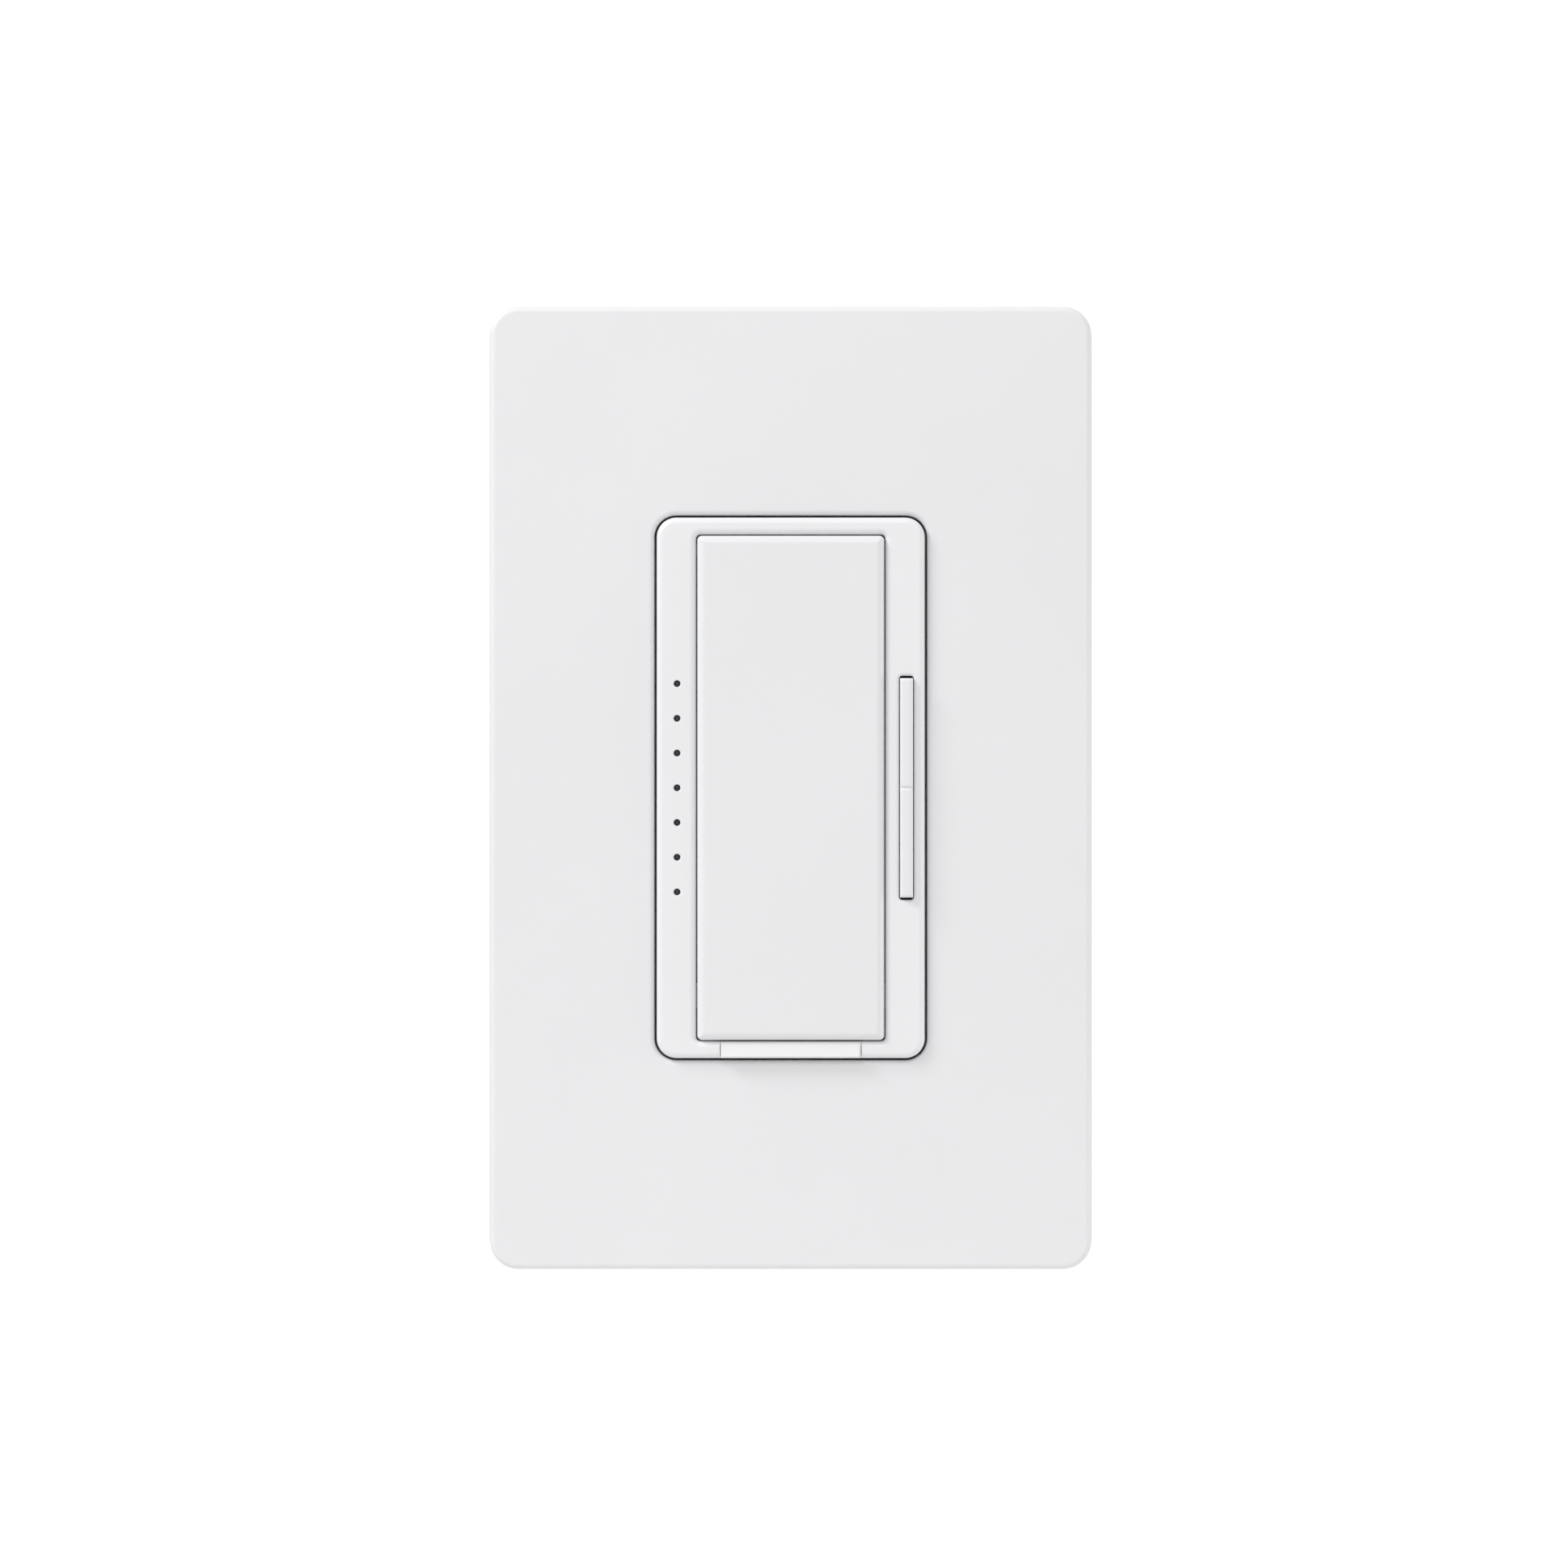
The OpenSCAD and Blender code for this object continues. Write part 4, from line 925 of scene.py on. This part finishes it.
# The two leads of each part, either side of its middle, and their radius. The fuse's are bent.
LEAD_PAIRS = ((FILM, (0, 5), 0.4), (CAN, (0, 1.5), 0.3), (DISC, (3.5, 0), 0.35),
              (FUSE, (FUSE_REACH, 0), 0.35))
LEADS = [(x + s * dx, z + s * dz, r) for (x, z), (dx, dz), r in LEAD_PAIRS for s in (-1, 1)]


def solder_joint(x, z, r, y, side):
    """A fillet of solder round a lead. It rises from the board's face at y, towards side."""
    rise = [(0, 2.1), (0.08, 1.75), (0.25, 1.35), (0.5, 1.12), (0.62, 1.0)]
    return turned([(y + side * d, r * k) for d, k in rise], (x, z), 20)


def leads_and_solder():
    """The wire leads, and the solder where they and the header's pins come through a board."""
    pins_lo, pins_hi = span("header_pins")
    pin_r, count = (pins_hi.z - pins_lo.z) / 2, 6
    pin_step = (pins_hi.x - pins_lo.x - 2 * pin_r) / (count - 1)
    pin_x = [pins_lo.x + pin_r + i * pin_step for i in range(count)]
    pin_z = (pins_lo.z + pins_hi.z) / 2
    pins = [peg(pin_r, pins_lo.y, pins_hi.y, 0.15, 0.15, (x, pin_z), 20) for x in pin_x]
    fixed(group(*pins), "header_pins_tapered", gold_pin, "header_pins")
    wires = [peg(r, power_lo.y - 3.4 if z == DISC[1] else power_lo.y - 0.5, pins_hi.y, 0, 0.1, (x, z), 16)
             for x, z, r in LEADS[:-2]]
    joints = [solder_joint(x, z, r, power_hi.y, 1) for x, z, r in LEADS]
    joints += [solder_joint(x, pin_z, pin_r, power_hi.y, 1) for x in pin_x]
    joints += [solder_joint(x, pin_z, pin_r, board_lo.y, -1) for x in pin_x]
    bend = 1.0
    for side in (-1, 1):
        x1 = side * FUSE_REACH
        path = [(side * 4.3, FUSE_Y, FUSE[1]), (x1 - side * bend, FUSE_Y, FUSE[1])]
        path += [(x1 - side * bend * (1 - math.sin(a)), FUSE_Y + bend * (1 - math.cos(a)), FUSE[1])
                 for a in (math.pi / 2 * i / 6 for i in range(1, 6))]
        wires.append(tube(path + [(x1, FUSE_Y + bend, FUSE[1]), (x1, pins_hi.y, FUSE[1])], 0.35))
    fixed(group(*wires), "component_leads", tinned)
    fixed(group(*joints), "solder_joints", tinned, smooth=60)


def capacitors():
    foot = power_lo.y - 0.3
    film = slab(9, 15, 1.2, span("film_capacitor")[0].y, foot, 1.3, 0.5, FILM, 10)
    fixed(film, "film_capacitor_dipped", film_red, "film_capacitor", 50)
    top, r = span("supply_capacitor")[0].y, 4.0
    rolled_top = [(0.35, 0.75), (0, 0.7), (0, 0.3), (0.1, 0.08), (0.35, 0)]
    beaded_foot = [(2.2, 0), (1.8, 0.12), (1.5, 0.3), (1.2, 0.12), (0.9, 0), (0.15, 0), (0, 0.2)]
    sleeve = turned([(top + d, r - inset) for d, inset in rolled_top]
                    + [(foot - d, r - inset) for d, inset in beaded_foot], CAN)
    lid = turned([(top + 0.15, r - 0.72), (foot - 0.5, r - 0.76)], CAN)
    scores = [slab(w, h, 0.05, top - 1, top + 0.22, at=CAN, n=2) for w, h in ((4.4, 0.22), (0.22, 4.4))]
    fixed(sleeve, "supply_capacitor_sleeve", can_sleeve, "supply_capacitor")
    fixed(cut(lid, *scores), "supply_capacitor_lid", aluminium)


def disc_and_fuse():
    lo, hi = span("varistor")
    r, t, y = (hi.x - lo.x) / 2, hi.z - lo.z, lo.y + (hi.x - lo.x) / 2
    bulge = [(-t / 2 * math.cos(a), r * math.sin(a) ** 0.45 + 1e-3)
             for a in (math.pi * i / 16 for i in range(17))]
    disc = moved(turned(bulge), shift(DISC[0], y, DISC[1]) @ turn(90, "X"))
    fixed(disc, "varistor_disc", varistor_blue, "varistor", 60)
    waist = [(-4.5, 0.4), (-4.45, 1.1), (-4.2, 1.42), (-3.6, 1.5), (-3.1, 1.42), (-2.7, 1.3)]
    profile = waist + [(-y, r) for y, r in reversed(waist)]
    place = shift(FUSE[0], FUSE_Y, FUSE[1]) @ turn(-90, "Z")
    fuse_body = moved(turned(profile), place)
    fixed(fuse_body, "fusible_resistor_body", resistor_green, "fusible_resistor", 50)
    bands = [turned([(y - 0.3, 1.2), (y - 0.28, r), (y + 0.28, r), (y + 0.3, 1.2)])
             for y, r in ((-3.6, 1.53), (-1.5, 1.33), (-0.3, 1.33), (2.2, 1.33))]
    fixed(moved(group(*bands), place), "fusible_resistor_bands", screw_black)


def power_triac():
    """The switching device: a black moulding on a bare metal tab, with three bent leads."""
    lo, hi = span("triac")
    x, half, tab_t, body_t, through = (lo.x + hi.x) / 2, (hi.x - lo.x) / 2, 1.3, 4.4, 5
    body = slab(2 * half, 9.2, 0.3, lo.y, lo.y + body_t, 0.05, 0.5, (x, 8.6))
    cut(body, peg(0.7, lo.y + body_t - 0.12, lo.y + body_t + 1, at=(x - half + 1.6, 12)))
    tab = slab(2 * half, 8.4, 0.3, lo.y, lo.y + tab_t, 0.05, 0.1, (x, 15.3))
    cut(tab, peg(1.85, lo.y - 1, lo.y + through, at=(x, 16.7)))
    cut(tab, *[peg(1.0, lo.y - 1, lo.y + through, at=(edge, 13.6)) for edge in (x - half, x + half)])
    path = [(lo.y + 2.1, 4.4), (lo.y + 2.1, 1.5), (lo.y + 2.4, 0.7), (lo.y + 3.0, 0.4), (power_lo.y, 0.4)]
    leads = [strip(path, 0.6, 0.8, x + 2.54 * i) for i in (-1, 0, 1)]
    fixed(body, "triac_body", chip_black, "triac")
    fixed(group(tab, *leads), "triac_tab_and_leads", tinned)


def choke():
    """A pressed ring core, and one length of enamelled wire wound round it."""
    lo, hi = span("choke_core")
    x, y, z = (lo + hi) / 2
    outer, inner, half_h = (hi.x - lo.x) / 2, 5.4, (hi.y - lo.y) / 2
    wire, lift, turns, per_turn, first, sweep, squareness = 0.4, 0.05, 20, 28, -27, -306, 0.4
    n, edge = 72, 0.5
    corner = rounded(0, 1, edge, n=4)[:-1]
    quarter = [(half_h - d, outer - s) for d, s in corner]
    quarter += [(half_h - d, inner + s) for d, s in reversed(corner)]
    section = quarter + [(-a, b) for a, b in reversed(quarter)]
    ring = mesh_of([[(x + r * math.cos(a), y + d, z + r * math.sin(a)) for d, r in section]
                    for a in angles(n)], closed=True)
    fixed(ring, "choke_ring_core", core_green, "choke_core")
    ring_r, reach = (outer + inner) / 2, (outer - inner) / 2 + wire + lift
    path = []
    for i in range(turns * per_turn + 1):
        turn_angle = 2 * math.pi * i / per_turn
        c, s = math.cos(turn_angle), math.sin(turn_angle)
        r = ring_r + reach * math.copysign(abs(c) ** squareness, c)
        depth = (half_h + wire + lift) * math.copysign(abs(s) ** squareness, s)
        a = math.radians(first + sweep * i / (turns * per_turn))
        path.append((x + r * math.cos(a), y + depth, z + r * math.sin(a)))
    path = [(path[0][0], power_lo.y, path[0][2])] + path + [(path[-1][0], power_lo.y, path[-1][2])]
    fixed(tube(path, wire, 8), "choke_wire", enamel, "choke_winding", 60)


indicator_lamps()
microcontroller()
chip_parts()
leads_and_solder()
capacitors()
disc_and_fuse()
power_triac()
choke()

recess, label_t = 0.4, 0.09
label = slab(24, 38, 1.2, housing_back - recess, housing_back - recess + label_t, 0, 0.02)
fixed(label, "blank_rating_label", label_foil)


# ---- CAD nodes that keep their shape

CAD_LOOKS = {
    "adapter_plate": (adapter_white, 0.10), "yoke": (aluminium, 0.10),
    "screw_retainers": (brown_fibre, 0.05), "control_board": (green_board, 0.04),
    "board_insulator": (amber_film, 0), "header_block": (chip_black, 0.06),
    "contact_leaf": (copper, 0.05), "moving_contact": (silver, 0.08), "leaf_rivet": (brass, 0.08),
    "leaf_bracket": (brass, 0.08), "fixed_contact": (brass, 0.06), "power_board": (green_board, 0.04),
    "triac_insulator": (mica_grey, 0.02), "triac_rivet": (zinc, 0.1), "terminal_plates": (brass, 0.06),
    "rear_housing": (housing_black, 0.15), "housing_screws": (zinc, 0.05),
}
for node, (look, ease) in CAD_LOOKS.items():
    dress(node, look, ease)


# ---- camera, floor and light

CAMERA_DISTANCE, CAMERA_X, CAMERA_Z = 750.0, -0.83, 0.47
FRAME_WIDTH = 192.6
SENSOR = 36.0
BACKDROP = 1.02


def set_camera():
    data = bpy.data.cameras.new("camera")
    data.sensor_width = SENSOR
    data.lens = SENSOR * CAMERA_DISTANCE / FRAME_WIDTH
    data.clip_start, data.clip_end = 0.05, 20
    camera = placed("camera", data)
    camera.location = Vector((CAMERA_X, plate_lo.y - CAMERA_DISTANCE, CAMERA_Z)) * MM
    camera.rotation_euler = (math.pi / 2, 0, 0)
    bpy.context.scene.camera = camera


def make_floor():
    """A pale disc under the object, which fades out before the photograph's view can reach it."""
    radius, solid, thick, drop = 150.0, 60.0, 2.0, 55.0
    centre = (0.0, -60.0, plate_lo.z - drop)
    floor = turned([(0, radius), (thick, radius)], n=96)
    moved(floor, shift(*centre) @ turn(-90, "X"))
    floor.name = "floor"
    s = Shader("floor_paper", Specular_IOR_Level=0.2)
    s.base(s.colours(s.noise(120, 3), (0.93, 0.93, 0.93, 1), (0.96, 0.96, 0.96, 1)))
    s.roughness(s.noise(6, 4), 0.75, 0.9)
    away = s.add("ShaderNodeVectorMath", operation="DISTANCE")
    away.inputs[1].default_value = Vector(centre) * MM
    s.wire(s.place, away.inputs[0])
    s.wire(s.levels(away.outputs["Value"], solid * MM, radius * MM, 1, 0), s.bsdf.inputs["Alpha"])
    floor.data.materials.append(s.material)


def area_light(name, place, size, power):
    data = bpy.data.lights.new(name, "AREA")
    data.shape, data.size, data.energy = "DISK", size * MM, power
    light = placed(name, data)
    light.location = Vector(place) * MM
    light.rotation_euler = (-Vector(place)).to_track_quat("-Z", "Y").to_euler()


def white_surround(level, rightward, inward, upward):
    """White all round to the camera. As light it is level, plus so much more along X, Y and Z."""
    world = bpy.data.worlds.new("surround")
    bpy.context.scene.world = world
    world.use_nodes = True
    tree = world.node_tree
    lean = tree.nodes.new("ShaderNodeVectorMath")
    lean.operation = "DOT_PRODUCT"
    lean.inputs[1].default_value = (rightward, inward, upward)
    tree.links.new(tree.nodes.new("ShaderNodeTexCoord").outputs["Generated"], lean.inputs[0])
    light = tree.nodes.new("ShaderNodeMath")
    light.inputs[1].default_value = level
    tree.links.new(lean.outputs["Value"], light.inputs[0])
    seen = tree.nodes.new("ShaderNodeMix")
    seen.inputs["B"].default_value = BACKDROP
    tree.links.new(light.outputs["Value"], seen.inputs["A"])
    tree.links.new(tree.nodes.new("ShaderNodeLightPath").outputs["Is Camera Ray"], seen.inputs["Factor"])
    tree.links.new(seen.outputs["Result"], tree.nodes["Background"].inputs["Strength"])
    tree.nodes["Background"].inputs["Color"].default_value = (1, 1, 1, 1)


set_camera()
make_floor()
area_light("key", (-600, -330, 560), 300, 3.6)
area_light("front", (-150, -850, 520), 600, 1.3)
area_light("right_rim", (800, -120, -60), 300, 0.7)
white_surround(0.73, 0.08, 0.05, 0.02)
view = bpy.context.scene.view_settings
view.view_transform, view.look = "Standard", "None"
